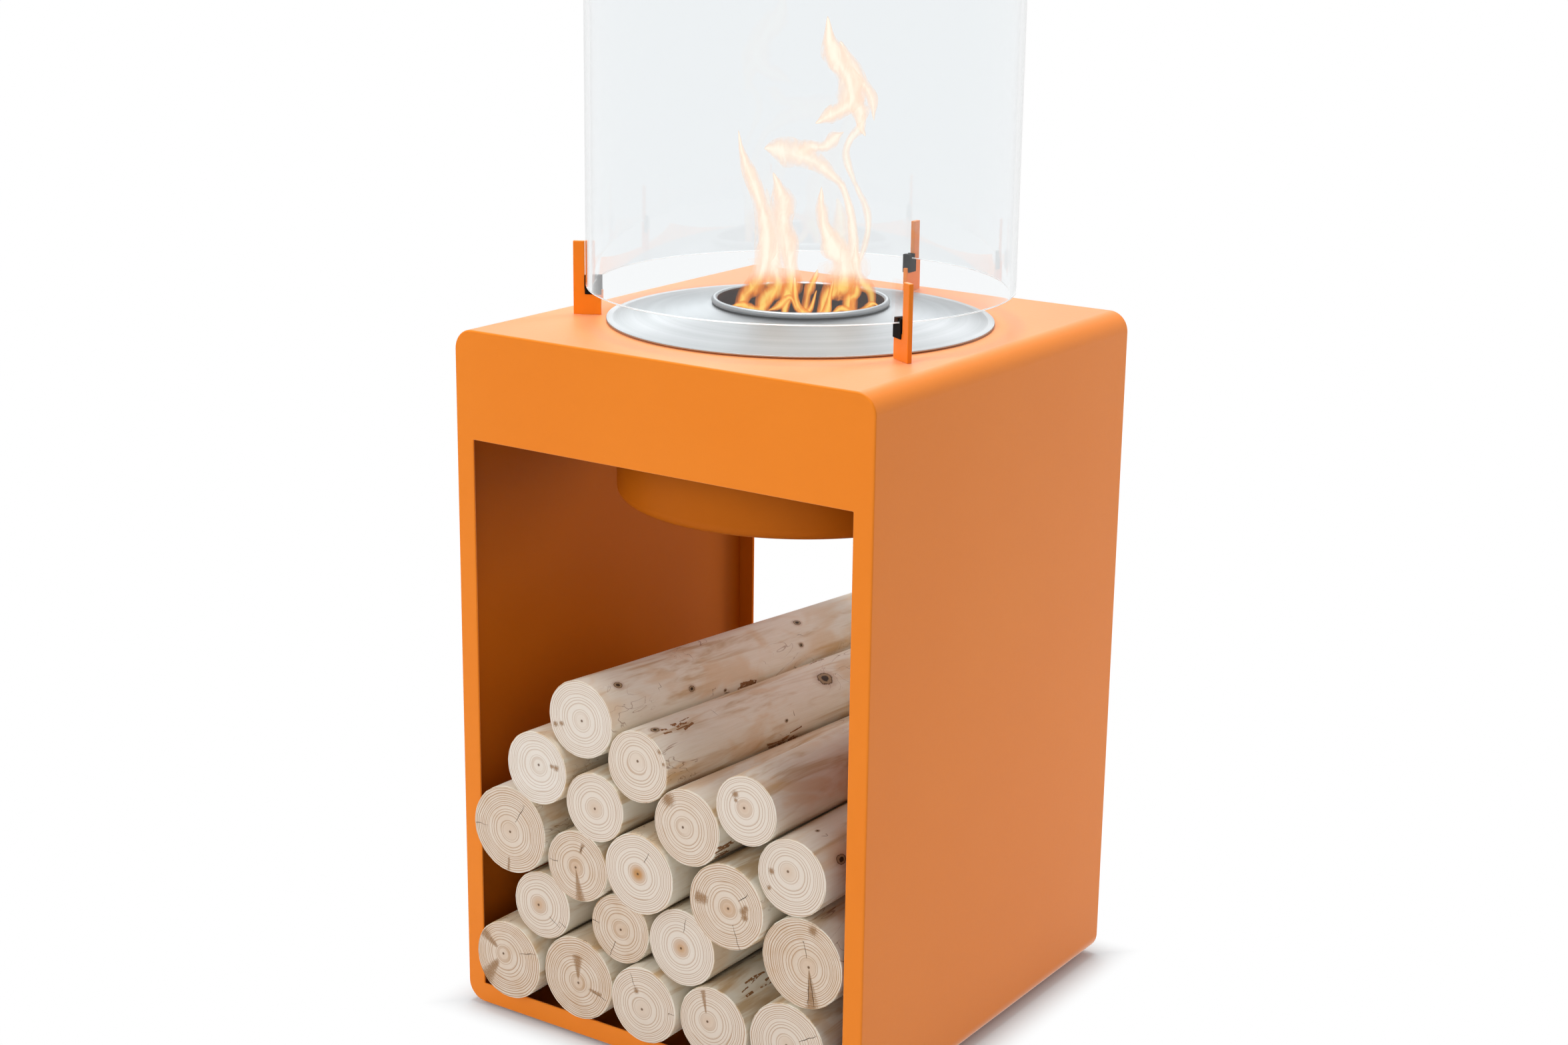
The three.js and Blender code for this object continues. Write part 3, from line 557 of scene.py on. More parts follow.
def turned(outline, sides):
    """An outline of (radius, height) turned about the upright axis; a point at radius 0 closes an end."""
    angles = np.arange(sides) * 2 * pi / sides
    ends = [outline[0][0] == 0, outline[-1][0] == 0]
    loops = outline[ends[0]:len(outline) - ends[1]]
    points = [(r * cos(a), r * sin(a), z) for r, z in loops for a in angles]
    faces = loops_to_faces(len(loops), sides, closed=not any(ends))
    for is_end, point, row in ((ends[0], outline[0], 0), (ends[1], outline[-1], len(loops) - 1)):
        if is_end:
            faces += fan(len(points), row * sides, sides, row > 0)
            points.append((0, 0, point[1]))
    return points, faces


def arc(centre, radius, start, end, steps):
    """Points on an arc in the plane of radius and height, from one angle to another, in degrees."""
    angles = np.radians(np.linspace(start, end, steps + 1))
    return [(centre[0] + radius * cos(a), centre[1] + radius * sin(a)) for a in angles]


def finished_copy(node, name, materials, body, bevel, choose=None):
    """A copy of a CAD node's mesh with its triangles merged, its edges eased and its flat faces kept flat."""
    mesh = bpy.data.meshes.new(name)
    shape = bmesh.new()
    shape.from_mesh(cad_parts[node].data)
    bmesh.ops.remove_doubles(shape, verts=shape.verts, dist=WELD)
    bmesh.ops.dissolve_limit(shape, angle_limit=radians(1), verts=shape.verts, edges=shape.edges)
    shape.to_mesh(mesh)
    shape.free()
    mesh.materials.clear()
    for material in materials:
        mesh.materials.append(material)
    if choose is not None:
        for face in mesh.polygons:
            face.material_index = choose(face)
    mesh.shade_smooth()
    piece = new_object(name, mesh)
    if bevel:
        easing = piece.modifiers.new("eased_edges", "BEVEL")
        easing.width = bevel
        easing.segments = 2
        easing.limit_method = "ANGLE"
        easing.angle_limit = FINISHED_CREASE
        easing.harden_normals = True
    mesh.set_sharp_from_angle(angle=FINISHED_CREASE)
    keep_flats(piece)
    return place_piece(piece, body, (node,))


# Sheet-metal box
CORNER_STEPS = 12


def rounded_loop(half_width, bottom, top, radius, y):
    """A rectangle with round corners in a plane across the box."""
    corners = ((half_width - radius, bottom + radius, -90), (half_width - radius, top - radius, 0),
               (radius - half_width, top - radius, 90), (radius - half_width, bottom + radius, 180))
    points = []
    for x, z, start in corners:
        for angle in np.radians(np.linspace(start, start + 90, CORNER_STEPS + 1)):
            points.append((x + radius * cos(angle), y, z + radius * sin(angle)))
    return points


def outline_loop(inset, y):
    """The box's outer outline, drawn in by the inset."""
    return rounded_loop(BOX_HALF - inset, BOX_BOTTOM + inset, BOX_TOP - inset, CORNER_RADIUS - inset, y)


def opening_loop(outset, y):
    """The outline of a frame's opening, widened by the outset."""
    return rounded_loop(OPENING_HALF + outset, OPENING_BOTTOM - outset, OPENING_TOP + outset,
                        OPENING_CORNER_RADIUS + outset, y)


def frame_sheet(name, face_y, inwards, node):
    """The flat frame at one end of the box; its outer edge is ground round and runs on into the wrapper."""
    back_y = face_y + inwards * SHEET
    loops = [outline_loop(0, back_y)]
    for angle in np.radians(np.linspace(0, 90, 7)):
        inset = OUTER_EDGE_RADIUS * (1 - cos(angle))
        loops.append(outline_loop(inset, face_y + inwards * OUTER_EDGE_RADIUS * (1 - sin(angle))))
    loops.append(outline_loop(OUTER_EDGE_RADIUS + HOLDING_BAND, face_y))
    loops.append(opening_loop(OPENING_EDGE_RADIUS + HOLDING_BAND, face_y))
    for angle in np.radians(np.linspace(90, 0, 5)):
        outset = OPENING_EDGE_RADIUS * (1 - cos(angle))
        loops.append(opening_loop(outset, face_y + inwards * OPENING_EDGE_RADIUS * (1 - sin(angle))))
    for angle in np.radians(np.linspace(0, 90, 5)):
        outset = OPENING_EDGE_RADIUS * (1 - cos(angle))
        loops.append(opening_loop(outset, back_y - inwards * OPENING_EDGE_RADIUS * (1 - sin(angle))))
    loops.append(opening_loop(OPENING_EDGE_RADIUS + HOLDING_BAND, back_y))
    loops.append(outline_loop(2 * SHEET, back_y))
    points = [point for loop in loops for point in loop]
    faces = loops_to_faces(len(loops), len(loops[0]), closed=True)
    # The inside faces of the frame take the darker coat, which is painted shade
    inside_row = len(loops) - 2
    kinds = [int(row >= inside_row) for row in range(len(loops)) for _ in range(len(loops[0]))]
    return add_piece(name, points, faces, [powder_coat, shaded_inside_coat], "box", (node,), kinds)


def faces_inwards(face):
    """1 for the faces of the wrapper that look towards the middle of the box."""
    return int(face.normal.x * face.center.x + face.normal.z * (face.center.z - BOX_TOP / 2) < -1 * MM)


frame_sheet("front_frame_sheet", -BOX_HALF, 1, "front_frame")
frame_sheet("rear_frame_sheet", BOX_HALF, -1, "rear_frame")
# The wrapper's inward faces take the darker coat, which is painted shade
finished_copy("box_wrapper", "box_wrapper_sheet", [powder_coat, shaded_inside_coat], "box", bevel=0,
              choose=faces_inwards)


# Burner drum, plate, can, wool and grid
def add_turned(name, outline, sides, materials, body, replaced, choose=None, at=(0, 0)):
    """A turned piece on an upright axis; choose picks each face's material from where its middle is."""
    points, faces = turned(outline, sides)
    points = np.asarray(points)
    chosen = None
    if choose is not None:
        chosen = [choose(points[list(face)].mean(axis=0)) for face in faces]
    return add_piece(name, points + (*at, 0), faces, materials, body, replaced, chosen)


ROUND_SIDES = 160
drum_centre = (DRUM_RADIUS - DRUM_EDGE_RADIUS, DRUM_BOTTOM + DRUM_EDGE_RADIUS)
drum_inner = DRUM_RADIUS - DRUM_WALL
flange_corner = 0.4 * MM
# The drum takes the darker inside coat, which paints shade on it
add_turned("burner_drum_pan", [
    (0, DRUM_BOTTOM), (drum_centre[0] - HOLDING_BAND, DRUM_BOTTOM),
    *arc(drum_centre, DRUM_EDGE_RADIUS, -90, 0, 12),
    (DRUM_RADIUS, drum_centre[1] + HOLDING_BAND), (DRUM_RADIUS, BOX_TOP - HOLDING_BAND),
    (DRUM_RADIUS, BOX_TOP), (FLANGE_RADIUS - flange_corner, BOX_TOP),
    *arc((FLANGE_RADIUS - flange_corner, BOX_TOP + flange_corner), flange_corner, -90, 0, 3),
    *arc((FLANGE_RADIUS - flange_corner, FLANGE_TOP - flange_corner), flange_corner, 0, 90, 3),
    (drum_inner + DRUM_WALL, FLANGE_TOP),
    *arc((drum_inner + DRUM_WALL, FLANGE_TOP - DRUM_WALL), DRUM_WALL, 90, 180, 5),
    (drum_inner, drum_centre[1] + HOLDING_BAND),
    *arc(drum_centre, DRUM_EDGE_RADIUS - DRUM_WALL, 0, -90, 10),
    (drum_centre[0] - HOLDING_BAND, DRUM_BOTTOM + DRUM_WALL), (0, DRUM_BOTTOM + DRUM_WALL),
], ROUND_SIDES, [shaded_inside_coat], "box", ("burner_drum",))

plate_bottom = FLANGE_TOP
plate_top = plate_bottom + PLATE_SHEET
plate_inner = CAN_RADIUS + MOUTH_GAP
plate_edge = 0.35 * MM
add_turned("top_plate_spun", [
    (plate_inner, plate_bottom + PLATE_RISE), (PLATE_RIM_INNER - HOLDING_BAND, plate_bottom + 0.05 * MM),
    (PLATE_RIM_INNER, plate_bottom), (PLATE_RADIUS - plate_edge, plate_bottom),
    *arc((PLATE_RADIUS - plate_edge, plate_bottom + plate_edge), plate_edge, -90, 0, 3),
    *arc((PLATE_RADIUS - plate_edge, plate_top - plate_edge), plate_edge, 0, 90, 3),
    (PLATE_RIM_INNER, plate_top), (PLATE_RIM_INNER - HOLDING_BAND, plate_top + 0.05 * MM),
    (plate_inner, plate_top + PLATE_RISE),
], 2 * ROUND_SIDES, [spun_stainless], "plate", ("top_plate",))

can_seat = plate_top + PLATE_RISE
can_inner = CAN_RADIUS - CAN_WALL
roll_centre = (can_inner + ROLL_RADIUS, can_seat + SEAT_GAP + ROLL_RADIUS)
wall_meet = np.degrees(np.arccos((CAN_RADIUS - roll_centre[0]) / ROLL_RADIUS))
can_corner = 3 * MM
add_turned("burner_can_rolled", [
    (0, CAN_BOTTOM),
    *arc((CAN_RADIUS - can_corner, CAN_BOTTOM + can_corner), can_corner, -90, 0, 6),
    *arc(roll_centre, ROLL_RADIUS, -wall_meet, 180, 28),
    *arc((can_inner - can_corner, CAN_BOTTOM + CAN_WALL + can_corner), can_corner, 0, -90, 6),
    (0, CAN_BOTTOM + CAN_WALL),
], ROUND_SIDES, [spun_stainless, heat_tinted_steel], "burner", ("burner_can",),
    choose=lambda middle: int(sqrt(middle[0] ** 2 + middle[1] ** 2) < can_inner + 0.2 * MM
                              and middle[2] > CAN_BOTTOM + 0.5 * CAN_WALL))

# Glass, brackets, clips
glass_inner = GLASS_RADIUS - GLASS_WALL
add_turned("glass_cylinder_clear", [
    *arc((glass_inner + GLASS_ARRIS, GLASS_BOTTOM + GLASS_ARRIS), GLASS_ARRIS, 180, 270, 4),
    *arc((GLASS_RADIUS - GLASS_ARRIS, GLASS_BOTTOM + GLASS_ARRIS), GLASS_ARRIS, -90, 0, 4),
    *arc((GLASS_RADIUS - GLASS_ARRIS, GLASS_TOP - GLASS_ARRIS), GLASS_ARRIS, 0, 90, 4),
    *arc((glass_inner + GLASS_ARRIS, GLASS_TOP - GLASS_ARRIS), GLASS_ARRIS, 90, 180, 4),
], 256, [clear_glass, ground_rim], "glass", ("glass_cylinder",),
    choose=lambda middle: int(not GLASS_BOTTOM + GLASS_ARRIS < middle[2] < GLASS_TOP - GLASS_ARRIS))

for index in (1, 2, 3):
    finished_copy(f"glass_bracket_{index}", f"glass_bracket_cut_plate_{index}", [powder_coat], "box",
                  bevel=0.5 * MM)
    finished_copy(f"glass_clip_{index}", f"glass_clip_moulded_{index}", [black_rubber], "box",
                  bevel=0.4 * MM)
for index in (1, 2, 3, 4):
    finished_copy(f"foot_nut_{index}", f"foot_nut_hex_{index}", [zinc_plate], "box",
                  bevel=0.4 * MM)

# Feet: a rubber pad on a threaded stud
PAD_RADIUS = 13 * MM
PAD_TOP = 3 * MM
PAD_CORNER = 0.8 * MM
STUD_CORE = 2.55 * MM
STUD_TOP = 14 * MM
foot_places = [((low.x + high.x) / 2, (low.y + high.y) / 2) for low, high in (
    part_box(f"foot_{index}") for index in (1, 2, 3, 4))]
# The pad's sole has three round grooves, 0.6 mm deep, so that it grips
sole = [(0, 0.0)]
for groove in (3.5 * MM, 6.5 * MM, 9.5 * MM):
    sole += [(groove - 0.6 * MM, 0.0), (groove - 0.3 * MM, 0.6 * MM), (groove + 0.3 * MM, 0.6 * MM),
             (groove + 0.6 * MM, 0.0)]
foot_outline = sole + [
    *arc((PAD_RADIUS - PAD_CORNER, PAD_CORNER), PAD_CORNER, -90, 0, 4),
    *arc((PAD_RADIUS - PAD_CORNER, PAD_TOP - PAD_CORNER), PAD_CORNER, 0, 90, 4),
    (STUD_CORE + 1.2 * MM, PAD_TOP), (STUD_CORE, PAD_TOP), (STUD_CORE, STUD_TOP - 0.8 * MM),
    (STUD_CORE - 0.8 * MM, STUD_TOP), (0, STUD_TOP)]
for index, place in enumerate(foot_places, 1):
    add_turned(f"foot_pad_{index}", foot_outline, 48, [black_rubber, zinc_plate], "box",
               (f"foot_{index}",), choose=lambda middle: int(middle[2] > PAD_TOP + 0.01 * MM), at=place)


# Wool in the can
def add_wool(sides=96, rings=30):
    """A disc of ceramic felt with a lumpy top and a soft edge, a little inside the solid it stands for."""
    low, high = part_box("burner_wool")
    radius = (high.x - low.x) / 2
    deepest, soft_edge = 4 * MM, 3 * MM
    rng = np.random.default_rng(7)
    lumps = [(rng.uniform(-1, 1) * radius, rng.uniform(-1, 1) * radius, rng.uniform(4, 11) * MM,
              rng.uniform(0.3, 1.6) * MM) for _ in range(90)]
    angles = np.arange(sides) * 2 * pi / sides
    loops = []
    for share in np.linspace(1 / rings, 1, rings):
        x, y = radius * share * np.cos(angles), radius * share * np.sin(angles)
        sink = sum(deep * np.exp(-((x - u) ** 2 + (y - v) ** 2) / wide ** 2) for u, v, wide, deep in lumps)
        rounded = soft_edge * max(0.0, share - 0.93) / 0.07
        loops.append(np.stack((x, y, high.z - np.minimum(sink, deepest) - rounded ** 2 / soft_edge), axis=1))
    edge = [(radius, z) for z in np.linspace(high.z - 6 * MM, low.z + 1 * MM, 5)] + [(radius - 1 * MM, low.z)]
    for reach, z in edge:
        loops.append(np.stack((reach * np.cos(angles), reach * np.sin(angles), np.full(sides, z)), axis=1))
    points = np.concatenate(loops + [[(0, 0, loops[0][:, 2].mean())], [(0, 0, low.z)]])
    faces = loops_to_faces(len(loops), sides, closed=False) + fan(len(points) - 2, 0, sides, False)
    faces += fan(len(points) - 1, (len(loops) - 1) * sides, sides, True)
    add_piece("burner_wool_felt", points, faces, [ceramic_wool], "burner", ("burner_wool",),
              crease=60, flats=False)


add_wool()

# Logs
SPOKES = 112
SIDE_ROWS = 110
CAP_RINGS = 22
RIM_CHAMFER = 0.45 * MM
FIBRES_PER_END = 46
# A point with no knot near it is this many half widths away from one
NO_KNOT = 9.0
# How far one log's grain lies from the next one's in the noise, so that no two are alike
GRAIN_STEP = np.array([0.31, 0.17, 0.9])

# A log's ends are more or less tan, its heart more or less brown, and some bark may be left on it. Its pith
# lies to the right and up from the middle, as shares of the radius. A crack runs at an angle, in degrees
# anticlockwise from the right, from one share of the radius to another. A branch is the same, with a spread
# in degrees. A spot is an angle, a share and a half width in millimetres. A knot on the side is an angle
# round the log, a distance from its front end and a half width in millimetres. Scraps of bark are an angle,
# a distance, the reach along and round the log in millimetres, and how many there are.
LOG_HABITS = {
    "log_01": dict(tan=0.8, heart=0.1, bark=0.02, pith=(-0.16, 0.13), cracks=[(14, 0.5, 0.98)],
                   branches=[(146, 0.25, 1.0, 15), (-126, 0.24, 1.0, 18)]),
    "log_02": dict(tan=0.85, heart=0.2, bark=0.03, pith=(0.01, -0.12), cracks=[(-15, 0.5, 0.9)],
                   branches=[(92, 0.05, 0.6, 17), (-12, 0.3, 0.7, 8)]),
    "log_03": dict(tan=0.5, heart=0.2, pith=(-0.04, -0.12), cracks=[(112, 0.5, 0.85), (8, 0.8, 0.98)],
                   spots=[(110, 0.45, 2.5)]),
    "log_04": dict(tan=0.5, heart=0.3, bark=0.04, pith=(-0.17, 0.06), branches=[(100, 0.2, 0.9, 8)],
                   scraps=[(60, 40, 30, 8, 9)]),
    "log_05": dict(tan=0.5, heart=0.2, bark=0.02, pith=(0.0, 0.0), cracks=[(30, 0.4, 0.9)]),
    "log_06": dict(tan=0.45, heart=0.6, pith=(-0.14, -0.03), cracks=[(-34, 0.46, 0.8), (-24, 0.78, 1.0)]),
    "log_07": dict(tan=0.8, heart=0.25, pith=(0.02, -0.01), cracks=[(178, 0.78, 1.0), (-114, 0.45, 0.98)]),
    "log_08": dict(tan=0.3, heart=0.75, pith=(-0.02, -0.02), cracks=[(80, 0.45, 0.8)]),
    "log_09": dict(tan=0.85, heart=0.25, bark=0.03, pith=(0.17, -0.04), branches=[(-83, 0.0, 1.0, 15)],
                   cracks=[(104, 0.2, 0.5), (-80, 0.25, 0.95), (-90, 0.3, 0.9)], spots=[(85, 0.85, 4)]),
    "log_10": dict(tan=0.7, heart=0.2, pith=(0.01, -0.05), cracks=[(59, 0.34, 0.76), (180, 0.69, 1.0)],
                   branches=[(-94, 0.6, 1.0, 4)]),
    "log_11": dict(tan=0.75, heart=0.4, pith=(-0.06, -0.05), cracks=[(178, 0.66, 0.96), (70, 0.5, 0.64)],
                   branches=[(-80, 0.0, 1.0, 14), (70, 0.4, 0.72, 7)]),
    "log_12": dict(tan=0.35, heart=0.95, pith=(-0.02, 0.01), cracks=[(61, 0.44, 0.66)]),
    "log_13": dict(tan=0.7, heart=0.5, bark=0.02, pith=(0.06, -0.02), branches=[(175, 0.5, 0.85, 14)],
                   cracks=[(-71, 0.44, 1.0), (41, 0.42, 0.74)],
                   spots=[(3, 0.45, 3.5), (-12, 0.5, 3.0), (14, 0.52, 2.5)]),
    "log_14": dict(tan=0.35, heart=0.3, pith=(-0.11, 0.15), spots=[(-165, 0.55, 2.6), (-135, 0.78, 2.0)],
                   knots=[(27, 26, 4.2), (81, 28, 1.4)]),
    "log_15": dict(tan=0.35, heart=0.35, pith=(0.01, -0.03)),
    "log_16": dict(tan=0.1, heart=0.05, pith=(0.07, 0.11), spots=[(5, 0.66, 2.6), (6, 0.5, 2.0)]),
    "log_17": dict(tan=0.6, heart=0.12, bark=0.04, pith=(-0.12, -0.01), spots=[(125, 0.85, 6.0)],
                   scraps=[(-22, 10, 12, 8, 10)]),
    "log_18": dict(tan=0.3, heart=0.4, pith=(-0.06, 0.08), spots=[(132, 0.5, 3.0), (150, 0.36, 1.8)]),
    "log_19": dict(tan=0.45, heart=0.12, bark=0.02, pith=(0.01, 0.17),
                   spots=[(30, 0.95, 2.0), (5, 0.92, 1.6)],
                   knots=[(77, 14, 3.2), (53, 240, 6.5), (10, 166, 1.4)],
                   scraps=[(67, 38, 15, 4, 10), (-27, 162, 26, 5, 22), (-66, 2, 3, 6, 8)]),
    "top_log": dict(tan=0.2, heart=0.1, pith=(0.05, -0.02), spots=[(-163, 0.86, 2.4), (-163, 0.66, 2.2)],
                    knots=[(57, 26, 3.2), (65, 285, 3.0), (17, 107, 2.6), (26, 270, 2.0), (-3, 152, 1.4)],
                    scraps=[(-6, 183, 14, 3, 14)]),
}


def log_ends(node):
    """Centre, depth and radius of a log's front and rear ends, from its CAD solid."""
    places = np.array([v.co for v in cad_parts[node].data.vertices])
    ends = []
    for y in (places[:, 1].min(), places[:, 1].max()):
        at_end = places[np.abs(places[:, 1] - y) < 1 * MM]
        low, high = at_end.min(axis=0), at_end.max(axis=0)
        ends.append(((low[0] + high[0]) / 2, y, (low[2] + high[2]) / 2, (high[0] - low[0]) / 2))
    return ends


def log_body(node):
    return "top_log" if node == "top_log" else "log_stack"


def turn_from(start, angle):
    """From one angle to another by the shorter way round, in radians."""
    return (angle - start + pi) % (2 * pi) - pi


def log_skin(rng, habits, rows, radius, length, spokes):
    """Radius of the peeled side at every row and spoke, and each point's place seen from its nearest knot."""
    t = rows / length
    waves = np.zeros((len(rows), SPOKES))
    for turns, size in ((2, 0.5), (3, 0.35), (4, 0.2), (5, 0.15)):
        phase, drift, pace = rng.uniform(0, 2 * pi), rng.uniform(0.5, 1.6), rng.uniform(2, 6)
        waves += size * np.cos(turns * spokes[None, :] + phase + drift * np.sin(pace * t[:, None] + phase))
    for turns in (13, 17, 23, 29):
        phase, drift, pace = rng.uniform(0, 2 * pi), rng.uniform(0.5, 2.5), rng.uniform(3, 9)
        waves += 0.12 * np.cos(turns * spokes[None, :] + phase + drift * np.sin(pace * t[:, None] + phase))
    waves += 0.35 * np.sin(rng.uniform(5, 11) * t + rng.uniform(0, 6))[:, None]

    # Knots: place round the log, place along it, half width; then bumps over them
    knots = [(radians(angle), along * MM, half * MM) for angle, along, half in habits.get("knots", ())]
    knots += [(rng.uniform(0, 2 * pi), rng.uniform(0.06, 0.94) * length, rng.uniform(1.3, 2.8) * MM)
              for _ in range(rng.integers(3, 6))]
    swell = np.zeros_like(waves)
    nearest = np.full(waves.shape, np.inf)
    knot_place = np.zeros(waves.shape + (3,))
    for angle, along, half in knots:
        across = turn_from(angle, spokes[None, :]) * radius[:, None] / half
        down = (rows[:, None] - along) / (half * 1.5)
        distance = np.hypot(across, down)
        swell += np.exp(-(distance / 3.2) ** 2) * half * 0.3
        closer = distance < nearest
        nearest = np.where(closer, distance, nearest)
        knot_place[closer, 0] = np.broadcast_to(across, waves.shape)[closer]
        knot_place[closer, 1] = np.broadcast_to(down, waves.shape)[closer]
    # The side lies up to 4% inside the solid's radius, and nowhere more than 0.15 mm outside it
    skin = radius[:, None] * (0.984 + 0.011 * waves) + swell
    return np.minimum(skin, radius[:, None] + 0.15 * MM), knot_place


def sawn_end(rng, habits, end, rim, spokes, is_rear):
    """One sawn end from its pith out, with its cracks opened: rings of points, their marks, and the pith."""
    inwards = -1 if is_rear else 1
    size = end[3]
    centre = np.array(habits["pith"]) * size
    cracks, branches, spots = (habits.get(kind, ()) for kind in ("cracks", "branches", "spots"))
    if is_rear:
        # The photograph doesn't show this end, so its pith and its cracks lie by chance
        centre = centre * 0.9 + rng.uniform(-0.04, 0.04, 2) * size
        cracks = [(rng.uniform(0, 360), rng.uniform(0.2, 0.5), rng.uniform(0.7, 0.96)) for _ in range(2)]
        branches, spots = (), ()
    out_x, out_z = rim * np.cos(spokes) - centre[0], rim * np.sin(spokes) - centre[1]
    bearing = np.arctan2(out_z, out_x)
    reach = np.hypot(out_x, out_z)
    loops, marks = [], []
    tear = rng.uniform(-0.1, 0.1, SPOKES) * MM
    for share in np.concatenate((np.linspace(0.04, 0.9, CAP_RINGS - 4), [0.93, 0.96, 0.985, 1.0])):
        x = centre[0] + share * out_x
        z = centre[1] + share * out_z
        depth = tear * share ** 6
        crack_shade_marks, branched = np.zeros(SPOKES), np.zeros(SPOKES)
        for angle, start, stop in cracks:
            if not start <= share <= stop:
                continue
            gape = sqrt(max(0.0, 1 - ((share - (start + stop) / 2) / ((stop - start) / 2)) ** 2))
            k = int(np.argmin(np.abs(turn_from(radians(angle), bearing))))
            wander = radians(angle) + 0.012 * sin(share * 23 + angle)
            half_mouth = (0.12 + 0.22 * gape) * MM
            for step, shift in ((-1, -half_mouth), (0, 0.0), (1, half_mouth)):
                spoke = (k + step) % SPOKES
                r = share * reach[spoke]
                own = wander + shift / max(r, 2 * MM)
                x[spoke] = centre[0] + r * cos(own)
                z[spoke] = centre[1] + r * sin(own)
            depth[k] = (1.2 + 1.6 * gape) * MM
            # The point at the bottom of the crack carries the painted shade
            crack_shade_marks[k] = 1.0
        for angle, start, stop, spread in branches:
            off = np.abs(np.degrees(turn_from(radians(angle), bearing)))
            lengthwise = np.clip((share - start) / 0.08, 0, 1) * np.clip((stop - share) / 0.06 + 1, 0, 1)
            branched = np.maximum(branched, np.clip(1 - (off / spread) ** 2, 0, 1) * lengthwise)
        for angle, at_share, half in spots:
            k = int(np.argmin(np.abs(turn_from(radians(angle), bearing))))
            off = np.hypot(x - centre[0] - at_share * out_x[k], z - centre[1] - at_share * out_z[k])
            branched = np.maximum(branched, 1.4 * np.clip(1 - off / (1.6 * half * MM), 0, 1))
        y = np.full(SPOKES, end[1]) + inwards * np.maximum(depth, 0)
        loops.append(np.stack((end[0] + x, y, end[2] + z), axis=1))
        marks.append({
            "grain": np.stack((x, z, np.full(SPOKES, 0.5 * is_rear)), axis=1),
            "ring": share * (0.6 * size + 0.4 * reach), "branch": branched, "crack_shade": crack_shade_marks,
            "bearing": np.stack((np.cos(bearing), np.sin(bearing), 3 * share + np.zeros(SPOKES)), axis=1),
            "knot": np.full((SPOKES, 3), NO_KNOT)})
    pith = {"place": (end[0] + centre[0], end[1], end[2] + centre[1]), "grain": (centre[0], centre[1], 0)}
    return loops, marks, pith


def add_log(node, seed):
    """A peeled log with its sawn ends, and on every point the marks that its two finishes read."""
    habits = LOG_HABITS[node]
    front, rear = (np.array(end) for end in log_ends(node))
    length = rear[1] - front[1]
    rng = np.random.default_rng(seed)
    spokes = np.arange(SPOKES) * 2 * pi / SPOKES
    # Lengthwise rows of the side, closer together near the ends
    rows = np.concatenate(([RIM_CHAMFER], np.linspace(2.5 * MM, length - 2.5 * MM, SIDE_ROWS),
                           [length - RIM_CHAMFER]))
    t = rows / length
    radius = front[3] + (rear[3] - front[3]) * t
    skin, knot_place = log_skin(rng, habits, rows, radius, length, spokes)
    middle = front[None, :3] + (rear - front)[None, :3] * t[:, None]
    front_loops, front_marks, front_pith = sawn_end(rng, habits, front, skin[0] - RIM_CHAMFER, spokes, False)
    rear_loops, rear_marks, rear_pith = sawn_end(rng, habits, rear, skin[-1] - RIM_CHAMFER, spokes, True)
    side_loops, side_marks = [], []
    for row, down in enumerate(rows):
        x, z = skin[row] * np.cos(spokes), skin[row] * np.sin(spokes)
        side_loops.append(np.stack((middle[row, 0] + x, np.full(SPOKES, front[1] + down),
                                    middle[row, 2] + z), axis=1))
        side_marks.append({
            "grain": np.stack((x, z, np.full(SPOKES, down)), axis=1),
            "ring": np.full(SPOKES, radius[row]), "branch": np.zeros(SPOKES), "crack_shade": np.zeros(SPOKES),
            "bearing": np.stack((np.cos(spokes), np.sin(spokes), np.full(SPOKES, 3.0)), axis=1),
            "knot": knot_place[row]})
    loops = front_loops + side_loops + rear_loops[::-1]
    marks = front_marks + side_marks + rear_marks[::-1]
    points = np.concatenate(loops + [[front_pith["place"]], [rear_pith["place"]]])
    faces = loops_to_faces(len(loops), SPOKES, closed=False) + fan(len(points) - 2, 0, SPOKES, False)
    faces += fan(len(points) - 1, (len(loops) - 1) * SPOKES, SPOKES, True)
    kinds = [int(row < len(front_loops) - 1 or row >= len(loops) - len(rear_loops))
             for row in range(len(loops) - 1) for _ in range(SPOKES)] + [1] * (2 * SPOKES)
    mesh = add_piece(f"{node}_peeled", points, faces, [log_side, log_end], log_body(node),
                     (node,), kinds, flats=False).data
    grain = np.concatenate([row["grain"] for row in marks] + [[front_pith["grain"]], [rear_pith["grain"]]])
    store(mesh, "grain", grain + GRAIN_STEP * (seed + 1))
    for name, at_pith in (("knot", NO_KNOT), ("bearing", 0.0)):
        store(mesh, name, np.concatenate([row[name] for row in marks] + [np.full((2, 3), at_pith)]))
    store(mesh, "habit", np.tile((habits["tan"], habits["heart"], habits.get("bark", 0.0)), (len(points), 1)))
    for name in ("ring", "branch", "crack_shade"):
        store(mesh, name, np.concatenate([row[name] for row in marks] + [[0.0, 0.0]]))
    gather_scraps(node, rng, front, rear, rows, skin)
    gather_fibres(node, rng, front, rear, skin)


# Where loose scraps of bark and torn fibres sit: for each body, places, turns and sizes
loose_scraps = {"log_stack": ([], [], []), "top_log": ([], [], [])}
rim_fibres = {"log_stack": ([], [], []), "top_log": ([], [], [])}


def skin_at(skin, row, angle):
    """Radius of a log's side at one row and angle."""
    return skin[row][int(angle / (2 * pi) * SPOKES) % SPOKES]


